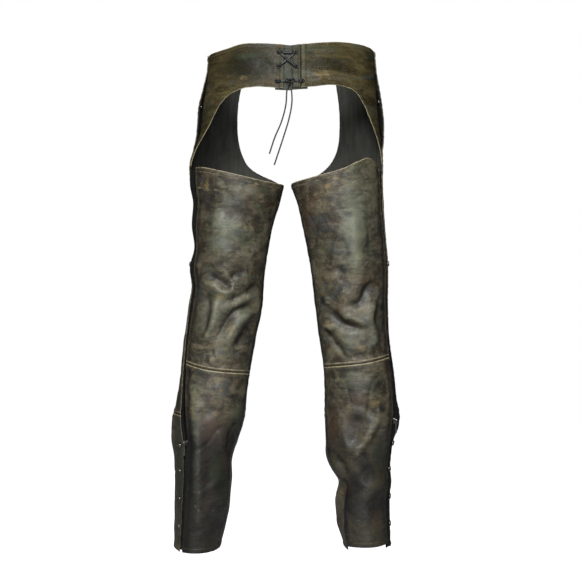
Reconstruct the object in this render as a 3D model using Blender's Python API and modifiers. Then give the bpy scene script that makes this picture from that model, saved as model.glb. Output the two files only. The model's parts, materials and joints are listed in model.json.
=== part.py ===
"""Leather riding chaps, filled out as worn: two zipped legs, a laced back yoke and a buckled belt.

Metres, +Z up. The garment's front faces -Y, and the wearer's left is +X. The origin is the middle of the
waist opening, halfway up the back yoke. Heights in the tables are above the hems, as a cutter measures them.
"""

import math

import bmesh
import bpy
import numpy as np
from mathutils import Matrix, Vector

# Driving sizes
HIDE = 0.0015  # thickness of the leather
CLOTH = 0.0010  # thickness of the zip tape and of the pocket facing
GAP = 0.0003  # between neighbours that touch
SEAM = 0.0005  # between the back and front panels at the inner leg seam
ROW_CLEAR = 0.007  # least height between a shared row and a seam
WAIST = 0.985  # height of the origin above the hems
CROTCH = 0.758  # height at which the inner leg seams end
HIP_CENTRE = -0.005  # x of the middle of the waist
HIP_START, HIP_FULL = 0.780, 0.880  # heights over which the legs' ovals turn into the hips' oval
NOSE = 0.45  # how far a leg's oval is drawn out to a ridge at the zip
WAIST_HALF = 0.1752  # half the width of the waist, at the lacing and the belt
SIGN = {"left": 1, "right": -1}

# Sections of each leg. inner and outer are distances from the middle plane. The angles run round the leg from
# its outermost line (0) over the back (90) to its innermost line (180); negative ones are on the front.
# back_edge is where the back panels end at the zip, front_edge where the front panels end there, and seam is
# the inner leg seam.
LEG_COLUMNS = ("height", "inner", "outer", "back_edge", "front_edge", "seam")
LEGS = {
    "left": (
        (0.000, 0.1440, 0.2416, 58, 50, 164),
        (0.070, 0.1275, 0.2410, 58, 50, 163),
        (0.144, 0.1195, 0.2399, 60, 52, 162),
        (0.190, 0.1180, 0.2422, 63, 54, 162),
        (0.224, 0.1070, 0.2464, 64, 55, 164),
        (0.259, 0.0956, 0.2464, 58, 48, 167),
        (0.306, 0.0897, 0.2361, 47, 36, 170),
        (0.370, 0.0811, 0.2273, 37, 26, 173),
        (0.440, 0.0688, 0.2195, 32, 21, 174),
        (0.510, 0.0550, 0.2100, 33, 17, 175),
        (0.544, 0.0530, 0.2040, 32, 8, 175),
        (0.587, 0.0490, 0.2080, 31, -2, 176),
        (0.625, 0.0426, 0.1987, 25, -4, 177),
        (0.671, 0.0340, 0.2042, 31, -4, 178),
        (0.720, 0.0193, 0.2013, 32, -4, 179),
        (0.758, 0.0113, 0.2080, 33, -3, 180),
        (0.795, 0.0110, 0.2073, 33, 3, 180),
        (0.860, 0.0110, 0.1990, 33, 6, 180),
    ),
    "right": (
        (0.000, 0.1160, 0.2130, 34, 9, 150),
        (0.050, 0.1010, 0.2114, 34, 8, 144),
        (0.107, 0.0977, 0.2113, 35, 8, 140),
        (0.138, 0.1035, 0.2143, 34, 8, 142),
        (0.159, 0.0900, 0.2122, 31, 6, 150),
        (0.191, 0.0777, 0.2137, 27, 4, 162),
        (0.226, 0.0767, 0.2200, 33, 2, 170),
        (0.250, 0.0756, 0.2298, 42, 0, 172),
        (0.280, 0.0750, 0.2311, 38, -2, 173),
        (0.306, 0.0744, 0.2263, 32, -2, 174),
        (0.360, 0.0735, 0.2206, 30, -2, 174),
        (0.442, 0.0624, 0.2099, 26, -2, 174),
        (0.510, 0.0544, 0.2070, 25, 6, 175),
        (0.592, 0.0435, 0.2076, 24, 13, 176),
        (0.665, 0.0294, 0.2023, 25, 15, 178),
        (0.720, 0.0170, 0.1985, 25, 15, 179),
        (0.758, 0.0046, 0.1975, 25, 15, 180),
        (0.795, 0.0040, 0.1954, 26, 12, 180),
        (0.860, 0.0040, 0.1960, 27, 6, 180),
    ),
}

# Depth of a leg in front of and behind its middle.
DEPTH_COLUMNS = ("height", "front", "back")
DEPTHS = (
    (0.000, 0.080, 0.076),
    (0.100, 0.077, 0.080),
    (0.200, 0.079, 0.087),
    (0.300, 0.084, 0.084),
    (0.380, 0.088, 0.078),
    (0.500, 0.094, 0.084),
    (0.620, 0.099, 0.091),
    (0.758, 0.104, 0.098),
    (0.860, 0.110, 0.108),
)

# The oval of the hips and waist, measured from HIP_CENTRE.
HIP_COLUMNS = ("height", "left", "right", "front", "back")
HIPS = (
    (0.780, 0.2100, 0.1900, 0.112, 0.112),
    (0.800, 0.2065, 0.1895, 0.112, 0.114),
    (0.840, 0.1960, 0.1880, 0.112, 0.118),
    (0.880, 0.1890, 0.1845, 0.111, 0.121),
    (0.920, 0.1855, 0.1805, 0.109, 0.121),
    (0.960, 0.1790, 0.1780, 0.107, 0.119),
    (1.000, 0.1742, 0.1755, 0.105, 0.116),
    (1.040, 0.1717, 0.1720, 0.104, 0.114),
)

# Open edge of each front panel from the crotch to the waist: distance from the middle plane.
OPEN_COLUMNS = ("height", "x")
OPEN_EDGES = {
    "left": (
        (0.758, 0.0113), (0.770, 0.030), (0.787, 0.060), (0.804, 0.085), (0.832, 0.102),
        (0.860, 0.109), (0.905, 0.1115), (0.950, 0.108), (0.985, 0.101), (1.040, 0.092),
    ),
    "right": (
        (0.758, 0.0046), (0.771, 0.030), (0.788, 0.062), (0.806, 0.084), (0.828, 0.099),
        (0.850, 0.106), (0.885, 0.109), (0.925, 0.1085), (0.985, 0.101), (1.040, 0.092),
    ),
}  # fmt: skip

# Edges that run round the body: the height of each at an angle from the side seam.
EDGE_COLUMNS = ("angle", "height")
YOKE_LOW = {
    "left": (
        (-4, 0.797), (6, 0.800), (12, 0.820), (19, 0.846), (28, 0.878), (35, 0.903), (41, 0.921),
        (48, 0.934), (56, 0.942), (66, 0.9445), (84, 0.940), (96, 0.939),
    ),
    "right": (
        (-4, 0.800), (5, 0.803), (11, 0.818), (17, 0.836), (22, 0.860), (28, 0.885), (35, 0.915),
        (43, 0.938), (52, 0.9465), (63, 0.949), (76, 0.944), (96, 0.939),
    ),
}  # fmt: skip
WAIST_TOP = {
    "left": ((-90, 1.025), (-45, 1.025), (0, 1.0265), (40, 1.028), (56, 1.034), (70, 1.032), (90, 1.0265)),
    "right": ((-90, 1.025), (-45, 1.028), (0, 1.034), (35, 1.038), (58, 1.037), (75, 1.032), (90, 1.0265)),
}
THIGH_TOP = {
    "left": (
        (25, 0.7900), (46, 0.7880), (73, 0.7780), (102, 0.7665), (128, 0.7585), (150, 0.7565), (180, 0.7565),
    ),
    "right": (
        (20, 0.7830), (30, 0.7960), (42, 0.8060), (62, 0.7980), (82, 0.7840), (125, 0.7660), (180, 0.7575),
    ),
}  # fmt: skip
KNEE_BACK = {
    "left": ((-190, 0.362), (-100, 0.374), (-20, 0.387), (20, 0.387), (90, 0.373), (180, 0.362)),
    "right": ((-190, 0.375), (-100, 0.387), (-20, 0.399), (20, 0.399), (90, 0.387), (180, 0.375)),
}
KNEE_FRONT = 0.280  # the front knee seam is level
HEM_BACK = {
    "left": ((20, 0.001), (180, 0.0)),
    "right": ((20, 0.013), (80, 0.013), (130, 0.010), (180, 0.001)),
}

# The largest folds: soft troughs (depth below 0) and ridges on the line from (x1, h1) to (x2, h2), as seen
# from behind or from the front. x is the distance from the middle plane.
# Columns: x1, h1, x2, h2, width, depth.
FOLDS = {
    ("left", "back"): (
        (0.170, 0.552, 0.112, 0.561, 0.008, -0.0055),
        (0.150, 0.577, 0.105, 0.585, 0.008, 0.0030),
        (0.060, 0.505, 0.165, 0.425, 0.010, -0.0055),
        (0.064, 0.543, 0.140, 0.482, 0.009, -0.0045),
        (0.154, 0.506, 0.170, 0.424, 0.010, 0.0045),
        (0.085, 0.465, 0.120, 0.430, 0.008, 0.0030),
        (0.128, 0.250, 0.124, 0.205, 0.007, -0.0050),
        (0.194, 0.290, 0.191, 0.060, 0.010, 0.0035),
        (0.178, 0.270, 0.180, 0.110, 0.009, -0.0035),
        (0.150, 0.150, 0.155, 0.030, 0.010, 0.0025),
    ),
    ("right", "back"): (
        (0.186, 0.552, 0.105, 0.496, 0.009, -0.0055),
        (0.150, 0.548, 0.095, 0.520, 0.009, 0.0035),
        (0.082, 0.472, 0.170, 0.458, 0.007, -0.0050),
        (0.090, 0.452, 0.165, 0.442, 0.007, 0.0035),
        (0.060, 0.440, 0.092, 0.422, 0.006, -0.0035),
        (0.173, 0.266, 0.133, 0.186, 0.009, 0.0045),
        (0.190, 0.290, 0.165, 0.205, 0.009, -0.0050),
        (0.103, 0.290, 0.124, 0.205, 0.008, -0.0040),
        (0.088, 0.195, 0.112, 0.135, 0.008, 0.0040),
        (0.160, 0.150, 0.156, 0.030, 0.010, 0.0025),
    ),
    ("left", "front"): (
        (0.080, 0.500, 0.185, 0.470, 0.010, -0.0050),
        (0.085, 0.455, 0.180, 0.440, 0.009, 0.0040),
        (0.095, 0.420, 0.195, 0.395, 0.009, -0.0045),
        (0.115, 0.345, 0.205, 0.330, 0.010, -0.0035),
        (0.180, 0.255, 0.190, 0.060, 0.011, 0.0035),
        (0.155, 0.230, 0.165, 0.050, 0.010, -0.0035),
        (0.150, 0.760, 0.080, 0.690, 0.012, -0.0040),
        (0.185, 0.700, 0.110, 0.630, 0.012, 0.0035),
    ),
    ("right", "front"): (
        (0.085, 0.515, 0.180, 0.490, 0.010, -0.0050),
        (0.080, 0.470, 0.185, 0.448, 0.009, 0.0040),
        (0.095, 0.430, 0.190, 0.410, 0.009, -0.0045),
        (0.105, 0.350, 0.200, 0.325, 0.010, -0.0035),
        (0.165, 0.250, 0.160, 0.070, 0.011, 0.0035),
        (0.130, 0.220, 0.135, 0.060, 0.010, -0.0035),
        (0.145, 0.765, 0.075, 0.700, 0.012, -0.0040),
        (0.180, 0.690, 0.105, 0.625, 0.012, 0.0035),
    ),
}

# Pocket mouth at each hip: how far its lip stands out.
LIP_COLUMNS = ("height", "out")
LIPS = {
    "left": ((0.828, 0.0), (0.850, 0.0030), (0.880, 0.0070), (0.920, 0.0075), (0.955, 0.0045), (0.992, 0.0)),
    "right": ((0.828, 0.0), (0.852, 0.0040), (0.880, 0.0085), (0.915, 0.0085), (0.955, 0.0050), (0.992, 0.0)),
}
LIP_ROOT, LIP_EDGE = -14, 6  # angles between which the lip bends away
LAP = 0.0020  # the front panel's outer face above the yoke's, where it laps over it

# Hardware
EYELET_R, EYELET_WIRE = 0.0033, 0.0011
SNAP_R, SNAP_HIGH = 0.0055, 0.0024
HIP_SNAP = 0.7  # the hip pockets' snaps are this much smaller
CHAIN_WIDE, CHAIN_THICK = 0.0056, 0.0020
ZIP_HALF = 0.0030  # half the width of tape beside the chain
ZIP_INSET = 0.0048  # from the back panels' edge to the middle of the chain
SLIDER_HEIGHT = {"left": 0.226, "right": 0.268}
SLIDER = (0.0090, 0.0120, 0.0035)  # wide, tall, thick
BAIL = (0.0016, 0.0062, 0.0038)  # the bridge on the slider that holds the pull tab
BAIL_ROOF, BAIL_POST = 0.0011, 0.0013  # thickness of its top and of each of its feet
TAB_LONG, TAB_WIDE, TAB_THICK = 0.0270, 0.0070, 0.0012
TAPE_LOW, TAPE_TOP = 0.010, 0.786
FLAP_SWELL = 0.0028  # how far the flap beside the zip may stand out
SNAP_HEIGHTS = (0.218, 0.165, 0.107, 0.050)
SNAP_ANGLES = {"left": (47, 43, 42, 42), "right": (16, 20, 17, 17)}
RIVET_HEIGHT = 0.592

# Belt and buckle. Places along the belt are x, and out is the distance outside the hips' oval.
BELT_TALL, BELT_THICK = 0.038, 0.0020
BELT_DROP = 0.002  # from the panels' top edge to the belt's
BELT_OUT = 0.0043  # the outer face, where the belt lies on a panel
BELT_HIP = -12  # angle at which each strap's sewn end begins
PANEL_END = -54  # angle at which each strap leaves the front panel
STRAP_RISE = ((-0.012, 0.0043), (0.005, 0.0072), (0.022, 0.0072), (0.030, 0.0068))  # over the buckle: x, out
STRAP_TIP, STRAP_TAPER = 0.075, 0.015
BUCKLE_WIRE, PRONG_WIRE = 0.0015, 0.0011
HEEL_X, FAR_X = 0.0145, -0.0240
HEEL_OUT, FAR_OUT = 0.0033, 0.0063
RAIL = 0.0209  # from the belt's middle line to a rail of the buckle
HOLE_X, HOLE_R = 0.0091, 0.0034
KEEPER_X, KEEPER_WIDE, KEEPER_THICK = 0.045, 0.010, 0.0012

# Lacing at the centre back. Eyelets are (x, height).
LACE_R = 0.0015
EYELETS = (
    (0.0212, 1.0130), (0.0208, 0.9840), (0.0238, 0.9540),
    (-0.0140, 1.0116), (-0.0148, 0.9830), (-0.0266, 0.9540),
)  # fmt: skip
PLACKET, TONGUE = (89.8, 96.0), (79.5, 100.5)  # angles round the back between which each lies
TONGUE_LONGER = 0.0035  # how far the tongue reaches below the band
KNOT_CENTRE, KNOT_SIZE = (-0.0022, 0.9535), (0.0090, 0.0060, 0.0040)
LACE_PITCH = 0.0088  # between a tail's points
# The tails' routes: x, y, height
TAILS = {
    "left": (
        (0.0014, 0.1240, 0.9484), (0.0040, 0.1243, 0.9354), (0.0060, 0.1243, 0.9075),
        (0.0159, 0.1240, 0.8697), (0.0279, 0.1236, 0.8418), (0.0390, 0.1232, 0.8087),
    ),
    "right": (
        (-0.0044, 0.1240, 0.9484), (-0.0050, 0.1243, 0.9354), (-0.0060, 0.1243, 0.9155),
        (0.0006, 0.1240, 0.8756), (0.0090, 0.1236, 0.8478), (0.0211, 0.1232, 0.8109),
        (0.0293, 0.1230, 0.7864),
    ),
}  # fmt: skip

COLOURS = {  # base colour, roughness, metallic
    "hide": ((0.066, 0.056, 0.040), 0.45, 0.0),
    "hide_yoke": ((0.090, 0.078, 0.050), 0.45, 0.0),
    "black_cloth": ((0.006, 0.006, 0.006), 0.70, 0.0),
    "lace": ((0.012, 0.014, 0.014), 0.55, 0.0),
    "nickel": ((0.60, 0.59, 0.56), 0.30, 1.0),
}

parts = bpy.data.collections.new("chaps")
guides = bpy.data.collections.new("guides")


def material(name):
    """The named material, made the first time it is asked for."""
    found = bpy.data.materials.get(name)
    if found:
        return found
    colour, rough, metallic = COLOURS[name]
    made = bpy.data.materials.new(name)
    made.use_nodes = True
    shader = made.node_tree.nodes["Principled BSDF"]
    shader.inputs["Base Color"].default_value = (*colour, 1)
    shader.inputs["Roughness"].default_value = rough
    shader.inputs["Metallic"].default_value = metallic
    return made


# Shape of the garment


def smooth(t):
    """0 to 1 with level ends."""
    t = min(max(t, 0.0), 1.0)
    return t * t * (3 - 2 * t)


def spread(start, end, count):
    return [start + (end - start) * i / count for i in range(count + 1)]


def read(table, columns, column, at):
    """A column of a table, read at any value of its first column, on a smooth curve through the rows."""
    rows = np.array(table)
    x, y = rows[:, 0], rows[:, columns.index(column)]
    if at <= x[0]:
        return float(y[0])
    if at >= x[-1]:
        return float(y[-1])
    slope = np.gradient(y, x)
    i = int(np.searchsorted(x, at)) - 1
    wide = x[i + 1] - x[i]
    t = (at - x[i]) / wide
    return float(
        y[i] * (2 * t**3 - 3 * t**2 + 1)
        + y[i + 1] * (3 * t**2 - 2 * t**3)
        + wide * (slope[i] * (t**3 - 2 * t**2 + t) + slope[i + 1] * (t**3 - t**2))
    )


def leg(side, column, height):
    return read(LEGS[side], LEG_COLUMNS, column, height)


def edge(table, side, angle):
    return read(table[side], EDGE_COLUMNS, "height", angle)


def section(side, angle, height):
    """A point of the garment's outer face on the given half, before folds."""
    c, s = math.cos(math.radians(angle)), math.sin(math.radians(angle))
    face = "back" if s > 0 else "front"
    inner, outer = leg(side, "inner", height), leg(side, "outer", height)
    depth = read(DEPTHS, DEPTH_COLUMNS, face, height)
    ridge = 1 + NOSE * max(c, 0)
    across = SIGN[side] * ((inner + outer) / 2 + (outer - inner) / 2 * c)
    on_leg = Vector((across, math.copysign(depth * abs(s) ** ridge, s), 0))
    wide = read(HIPS, HIP_COLUMNS, side, height)
    deep = read(HIPS, HIP_COLUMNS, face, height)
    on_hip = Vector((HIP_CENTRE + SIGN[side] * wide * c, deep * s, 0))
    point = on_leg.lerp(on_hip, smooth((height - HIP_START) / (HIP_FULL - HIP_START)))
    point.z = height - WAIST
    return point


def outward(side, angle, height):
    """The direction square to the outer face there."""
    round_it = section(side, angle + 1, height) - section(side, angle - 1, height)
    up_it = section(side, angle, height + 0.006) - section(side, angle, height - 0.006)
    return round_it.cross(up_it).normalized() * SIGN[side]


def fold_depth(side, point, normal):
    """How far the folds lift or sink the outer face at a point."""
    face = "back" if normal.y > 0 else "front"
    facing = smooth((abs(normal.y) - 0.10) / 0.45)
    x, height = abs(point.x), point.z + WAIST
    total = 0.0
    for x1, h1, x2, h2, width, depth in FOLDS[side, face]:
        run = Vector((x2 - x1, h2 - h1))
        here = Vector((x - x1, height - h1))
        along = min(max(here.dot(run) / run.length_squared, 0), 1)
        off = (here - along * run).length
        total += depth * math.exp(-((off / width) ** 2))
    return total * facing


def placed(side, angle, height, out=0.0):
    """A point at the given distance outside the folded outer face."""
    point, normal = section(side, angle, height), outward(side, angle, height)
    return point + normal * (out + fold_depth(side, point, normal))


def turn(side, angle, height, distance):
    """The angle that moves a point by a distance round the section."""
    step = (section(side, angle + 0.5, height) - section(side, angle - 0.5, height)).length
    return distance / step


def open_angle(side, height):
    """The angle on the front at which the section crosses the open edge."""
    x = read(OPEN_EDGES[side], OPEN_COLUMNS, "x", height)
    low, high = -180.0, 0.0
    for _ in range(30):
        middle = (low + high) / 2
        if SIGN[side] * section(side, middle, height).x > x:
            high = middle
        else:
            low = middle
    return (low + high) / 2


def half(angle):
    """The half of the garment and its own angle, for one counted on past the middle from the left hip."""
    if abs(angle) <= 90:
        return "left", angle
    return "right", math.copysign(180, angle) - angle


def turn_at(x):
    """The angle round the waist, counted from the left hip, at a distance x from the middle plane."""
    return math.degrees(math.acos((x - HIP_CENTRE) / WAIST_HALF))


# Making pieces


def add(mesh, name, material_name, angle=None):
    """Puts a mesh in the scene as a named piece, smooth but for edges sharper than the angle."""
    mesh.materials.append(material(material_name))
    mesh.shade_smooth()
    if angle:
        mesh.set_sharp_from_angle(angle=math.radians(angle))
    made = bpy.data.objects.new(name, mesh)
    parts.objects.link(made)
    return made


def shell(name, material_name, grid, thick, flip):
    """A piece of hide or cloth: a grid of outer points, given its thickness inwards."""
    bm = bmesh.new()
    rows = [[bm.verts.new(point) for point in row] for row in grid]
    for low, high in zip(rows, rows[1:]):
        for a, b, c, d in zip(low, low[1:], high[1:], high):
            bm.faces.new((d, c, b, a) if flip else (a, b, c, d))
    mesh = bpy.data.meshes.new(name)
    bm.to_mesh(mesh)
    bm.free()
    made = add(mesh, name, material_name)
    wall = made.modifiers.new("wall", "SOLIDIFY")
    wall.thickness = thick
    wall.offset = -1
    wall.use_even_offset = True
    wall.use_quality_normals = True
    return made


def primitive(name, material_name, build, matrix):
    """A piece from bmesh's own shapes, built by a function and set in place."""
    bm = bmesh.new()
    build(bm)
    mesh = bpy.data.meshes.new(name)
    bm.to_mesh(mesh)
    bm.free()
    made = add(mesh, name, material_name, 35)
    made.matrix_world = matrix
    return made


def block(name, material_name, size, centre, matrix, bevel=0.0):
    """A box of the given size about a centre, in a small piece's own frame."""

    def build(bm):
        bmesh.ops.create_cube(bm, size=1, matrix=Matrix.Translation(centre) @ Matrix.Diagonal((*size, 1)))

    made = primitive(name, material_name, build, matrix)
    if bevel:
        soft = made.modifiers.new("bevel", "BEVEL")
        soft.width = bevel
        soft.segments = 1
    return made


def combine(target, other, how):
    """Joins another shape to a piece, or cuts it out of it."""
    parts.objects.unlink(other)
    guides.objects.link(other)
    other.hide_render = True
    other.display_type = "WIRE"
    step = target.modifiers.new(how.lower(), "BOOLEAN")
    step.operation = how
    step.object = other


def tube(name, material_name, points, radius, cyclic=False):
    """A wire or a lace through points."""
    line = bpy.data.curves.new(name, "CURVE")
    line.dimensions = "3D"
    line.bevel_depth = radius
    line.bevel_resolution = 2
    line.use_fill_caps = True
    spline = line.splines.new("POLY")
    spline.points.add(len(points) - 1)
    for target, point in zip(spline.points, points):
        target.co = (*point, 1)
    spline.use_cyclic_u = cyclic
    spline.use_smooth = True
    line.materials.append(material(material_name))
    made = bpy.data.objects.new(name, line)
    parts.objects.link(made)
    return made


def eased(points, pitch):
    """Points about pitch apart on a smooth curve through the given ones."""
    points = np.array(points)
    steps = np.linalg.norm(np.diff(points, axis=0), axis=1)
    reach = np.concatenate([[0], np.cumsum(steps)])
    slopes = np.gradient(points, reach, axis=0)
    found = []
    for s in np.linspace(0, reach[-1], max(round(reach[-1] / pitch), 2) + 1):
        i = min(int(np.searchsorted(reach, s, side="right")) - 1, len(steps) - 1)
        t = (s - reach[i]) / steps[i]
        found.append(
            points[i] * (2 * t**3 - 3 * t**2 + 1)
            + points[i + 1] * (3 * t**2 - 2 * t**3)
            + steps[i] * (slopes[i] * (t**3 - 2 * t**2 + t) + slopes[i + 1] * (t**3 - t**2))
        )
    return [Vector(point) for point in found]


def frame_at(origin, out, up=Vector((0, 0, 1))):
    """Axes of a small piece: X along the surface, Y up it and Z out of it."""
    z = out.normalized()
    x = up.cross(z).normalized()
    y = z.cross(x)
    return Matrix.Translation(origin) @ Matrix((x, y, z)).transposed().to_4x4()


def seat(side, angle, height, out):
    """A frame on the folded face. out gives the distance outside it at an angle and height."""

    def at(d_angle, d_height):
        return placed(side, angle + d_angle, height + d_height, out(angle + d_angle, height + d_height))

    across, up = at(2, 0) - at(-2, 0), at(0, 0.006) - at(0, -0.006)
    return frame_at(at(0, 0), across.cross(up) * SIGN[side], up)


# Leather panels. A row is a function that gives its height at each angle.

# Heights of the rows that all the panels of a leg share, so that their edges match at the seams.
LEVELS = spread(0.020, 0.280, 10) + spread(0.300, 0.400, 4)
LEVELS += spread(0.415, 0.600, 12) + spread(0.623, 0.740, 5)
# Heights of the front panels' rows above the crotch, closer where the open edge leaves it.
UPPER_LEVELS = (0.758, 0.768, 0.779, 0.792, 0.808, 0.828, 0.852, 0.880, 0.910, 0.940, 0.970, 1.000)
# Shares of the way round at which the leg panels' columns stand.
COLUMNS = (0, 0.03, 0.08, 0.15, 0.24, 0.34, 0.44, 0.54, 0.64, 0.74, 0.84, 0.945, 1)


def level(height):
    """A row of points at one height."""
    return lambda angle: height


def along(table, side, base=0.0, share=1.0, drop=0.0):
    """A row on an edge, or part of the way up to it from a base height."""
    return lambda angle: base + (edge(table, side, angle) - base) * share - drop


def levels(side, low, high):
    """The shared rows between two heights, but for those beside the back knee seam."""
    knee = [height for _, height in KNEE_BACK[side]]
    seam_low, seam_high = min(knee) - ROW_CLEAR, max(knee) + ROW_CLEAR
    return [level(height) for height in LEVELS if low < height < high and not seam_low < height < seam_high]


def back_span(side, height):
    """The angles between which a back panel runs: from the zip to the inner seam."""
    seam = leg(side, "seam", height)
    return leg(side, "back_edge", height), seam - turn(side, seam, height, SEAM / 2)


def front_span(side, height):
    """The angles between which a front panel runs: from the zip to the inner seam or to the open edge."""
    start = leg(side, "front_edge", height)
    if height > CROTCH:
        return start, open_angle(side, height)
    seam = leg(side, "seam", height)
    return start, seam - 360 + turn(side, seam, height, SEAM / 2)


def row_points(side, row, columns, out):
    """The points of one row. columns gives the angles to stand at for a height."""
    points = []
    for number in range(len(columns(CROTCH))):
        angle = 0.0
        for _ in range(5):
            angle = columns(row(angle))[number]
        points.append(placed(side, angle, row(angle), out(angle, row(angle))))
    return points


def panel(name, side, material_name, thick, rows, columns, out, flip):
    """A panel that follows the leg and hip, from its rows and columns."""
    shell(name, material_name, [row_points(side, row, columns, out) for row in rows], thick, flip)


def shares_of(span, side, shares):
    """Columns at shares of the way along a span."""

    def columns(height):
        start, end = span(side, height)
        return [start + (end - start) * share for share in shares]

    return columns


def on_face(angle, height):
    return 0.0


def back_panels(side):
    """The back of the thigh and of the calf, joined at the knee seam."""
    knee, last = edge(KNEE_BACK, side, 90), LEVELS[-1]
    columns = shares_of(back_span, side, COLUMNS)
    thigh = [along(KNEE_BACK, side)] + levels(side, knee, 1)
    thigh += [along(THIGH_TOP, side, last, share) for share in (0.34, 0.67, 1)]
    calf = [along(HEM_BACK, side)] + levels(side, 0, knee) + [along(KNEE_BACK, side, drop=GAP)]
    panel("back_thigh_" + side, side, "hide", HIDE, thigh, columns, on_face, side == "right")
    panel("back_calf_" + side, side, "hide", HIDE, calf, columns, on_face, side == "right")


def lip_out(side, angle, height):
    """How far the front panel's side edge stands off the yoke: it laps over it, and gapes at the pocket."""
    lap = LAP * smooth((height - 0.765) / 0.030)
    bend = min(max((angle - LIP_ROOT) / (LIP_EDGE - LIP_ROOT), 0), 1) ** 2
    return lap + bend * read(LIPS[side], LIP_COLUMNS, "out", height)


def front_panels(side):
    """The front of the thigh, which rises to the waist, and of the shin."""
    knee = edge(KNEE_BACK, side, 90)
    columns = shares_of(front_span, side, COLUMNS)
    thigh = [level(KNEE_FRONT)] + levels(side, KNEE_FRONT, knee) + [along(KNEE_BACK, side)]
    thigh += levels(side, knee, CROTCH) + [level(height) for height in UPPER_LEVELS]
    thigh += [along(WAIST_TOP, side)]
    shin = [level(0.0)] + levels(side, 0, KNEE_FRONT - ROW_CLEAR) + [level(KNEE_FRONT - GAP)]

    def out(angle, height):
        return lip_out(side, angle, height)

    panel("front_thigh_" + side, side, "hide", HIDE, thigh, columns, out, side == "left")
    panel("front_shin_" + side, side, "hide", HIDE, shin, columns, on_face, side == "left")


def pocket_facing(side):
    """The black facing inside the lip of the hip pocket's mouth, with its snap."""
    shares, heights = (0.005, 0.03, 0.08, 0.15, 0.24), (0.852, 0.880, 0.910, 0.940, 0.954)

    def out(angle, height):
        return lip_out(side, angle, height) - HIDE - GAP

    rows, columns = [level(height) for height in heights], shares_of(front_span, side, shares)
    panel("pocket_facing_" + side, side, "black_cloth", CLOTH, rows, columns, out, side == "left")

    def inner_face(angle, height):
        return out(angle, height) - CLOTH - 3 * GAP

    snap_height = {"left": 0.920, "right": 0.930}[side]
    inwards = seat(side, 2.5, snap_height, inner_face) @ Matrix.Rotation(math.pi, 4, "Y")
    snap("hip_snap_" + side, inwards @ Matrix.Scale(HIP_SNAP, 4))


def yoke(side):
    """Half of the back band, from the lacing round to the hip, with its wing down the side seam."""
    # The wing's front edge: height, angle
    forward = ((0.79, -4), (0.84, -4), (0.865, -1), (0.95, -1), (0.985, -4), (1.04, -4))
    centre = {"left": 85.2, "right": 83.8}[side]
    shares = (0, 0.05, 0.11, 0.17, 0.23, 0.29, 0.35, 0.41, 0.48, 0.55, 0.63, 0.72, 0.81, 0.91, 1)

    def columns(height):
        start = float(np.interp(height, *zip(*forward)))
        return [start + (centre - start) * share for share in shares]

    def up_to(share):
        def row(angle):
            low, high = edge(YOKE_LOW, side, angle), edge(WAIST_TOP, side, angle)
            return low + (high - low) * share

        return row

    rows = [up_to(share) for share in spread(0, 1, 8)]
    panel("back_yoke_" + side, side, "hide_yoke", HIDE, rows, columns, on_face, side == "right")


def centre_back():
    """The placket sewn to the right half of the yoke, and the tongue behind the lacing."""
    deep = HIDE + GAP * 2
    for name, (start, end), longer, out in (
        ("lacing_placket", PLACKET, 0.0, 0.0),
        ("lacing_tongue", TONGUE, TONGUE_LONGER, -deep),
    ):
        grid = []
        for share in spread(0, 1, 6):
            row = []
            for angle in spread(start, end, 5):
                side, own = half(angle)
                bottom, top = edge(YOKE_LOW, side, own) - longer, edge(WAIST_TOP, side, own)
                row.append(placed(side, own, bottom + (top - bottom) * share, out))
            grid.append(row)
        shell(name, "hide_yoke", grid, HIDE, False)


# Zips


def zip_angle(side, height):
    """The middle of the zip, close beside the back panels' edge."""
    back_edge = leg(side, "back_edge", height)
    return back_edge - turn(side, back_edge, height, ZIP_INSET)


def flap_span(side, height):
    """The angles between which the black flap fills the space from the front panels' edge to the chain."""
    chain = zip_angle(side, height)
    return leg(side, "front_edge", height), chain - turn(side, chain, height, ZIP_HALF)


def tape_out(side, angle, height):
    """The tape's outer face, under the panels' edges; the flap swells a little in between."""
    front, back = flap_span(side, height)
    share = (angle - front) / max(back - front, 1)
    swell = min(FLAP_SWELL, (back - front) * 0.0001)
    return max(4 * share * (1 - share), 0) * swell - HIDE - GAP


def zip_fittings(side):
    """The zip's tape with its black flap, and the chain of teeth from the slider up."""

    def columns(height):
        back_start, back_end = back_span(side, height)
        front_start, front_end = front_span(side, height)
        under_back = back_start + (back_end - back_start) * COLUMNS[1]
        under_front = front_start + (front_end - front_start) * COLUMNS[1]
        chain = zip_angle(side, height)
        beside = chain + turn(side, chain, height, ZIP_HALF)
        flap = spread(*flap_span(side, height), 2)
        return [under_back, back_start, beside, *reversed(flap), under_front]

    def chain_columns(height):
        chain = zip_angle(side, height)
        reach = turn(side, chain, height, CHAIN_WIDE / 2)
        return [chain + reach, chain - reach]

    def out(angle, height):
        return tape_out(side, angle, height)

    knee = edge(KNEE_BACK, side, 20)
    top = [level(height) for height in (0.758, 0.7735)]
    upper = levels(side, knee, 1) + top
    tape = [level(TAPE_LOW)] + levels(side, 0, knee) + [along(KNEE_BACK, side)] + upper + [level(TAPE_TOP)]
    panel("zip_tape_" + side, side, "black_cloth", CLOTH, tape, columns, out, side == "left")

    start = SLIDER_HEIGHT[side] - 0.001
    chain = [level(start)] + levels(side, start + ROW_CLEAR, knee) + [along(KNEE_BACK, side)] + upper
    above_tape = CHAIN_THICK - HIDE
    panel(
        "zip_chain_" + side, side, "nickel", CHAIN_THICK, chain, chain_columns,
        lambda angle, height: above_tape, side == "left",
    )  # fmt: skip


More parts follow.
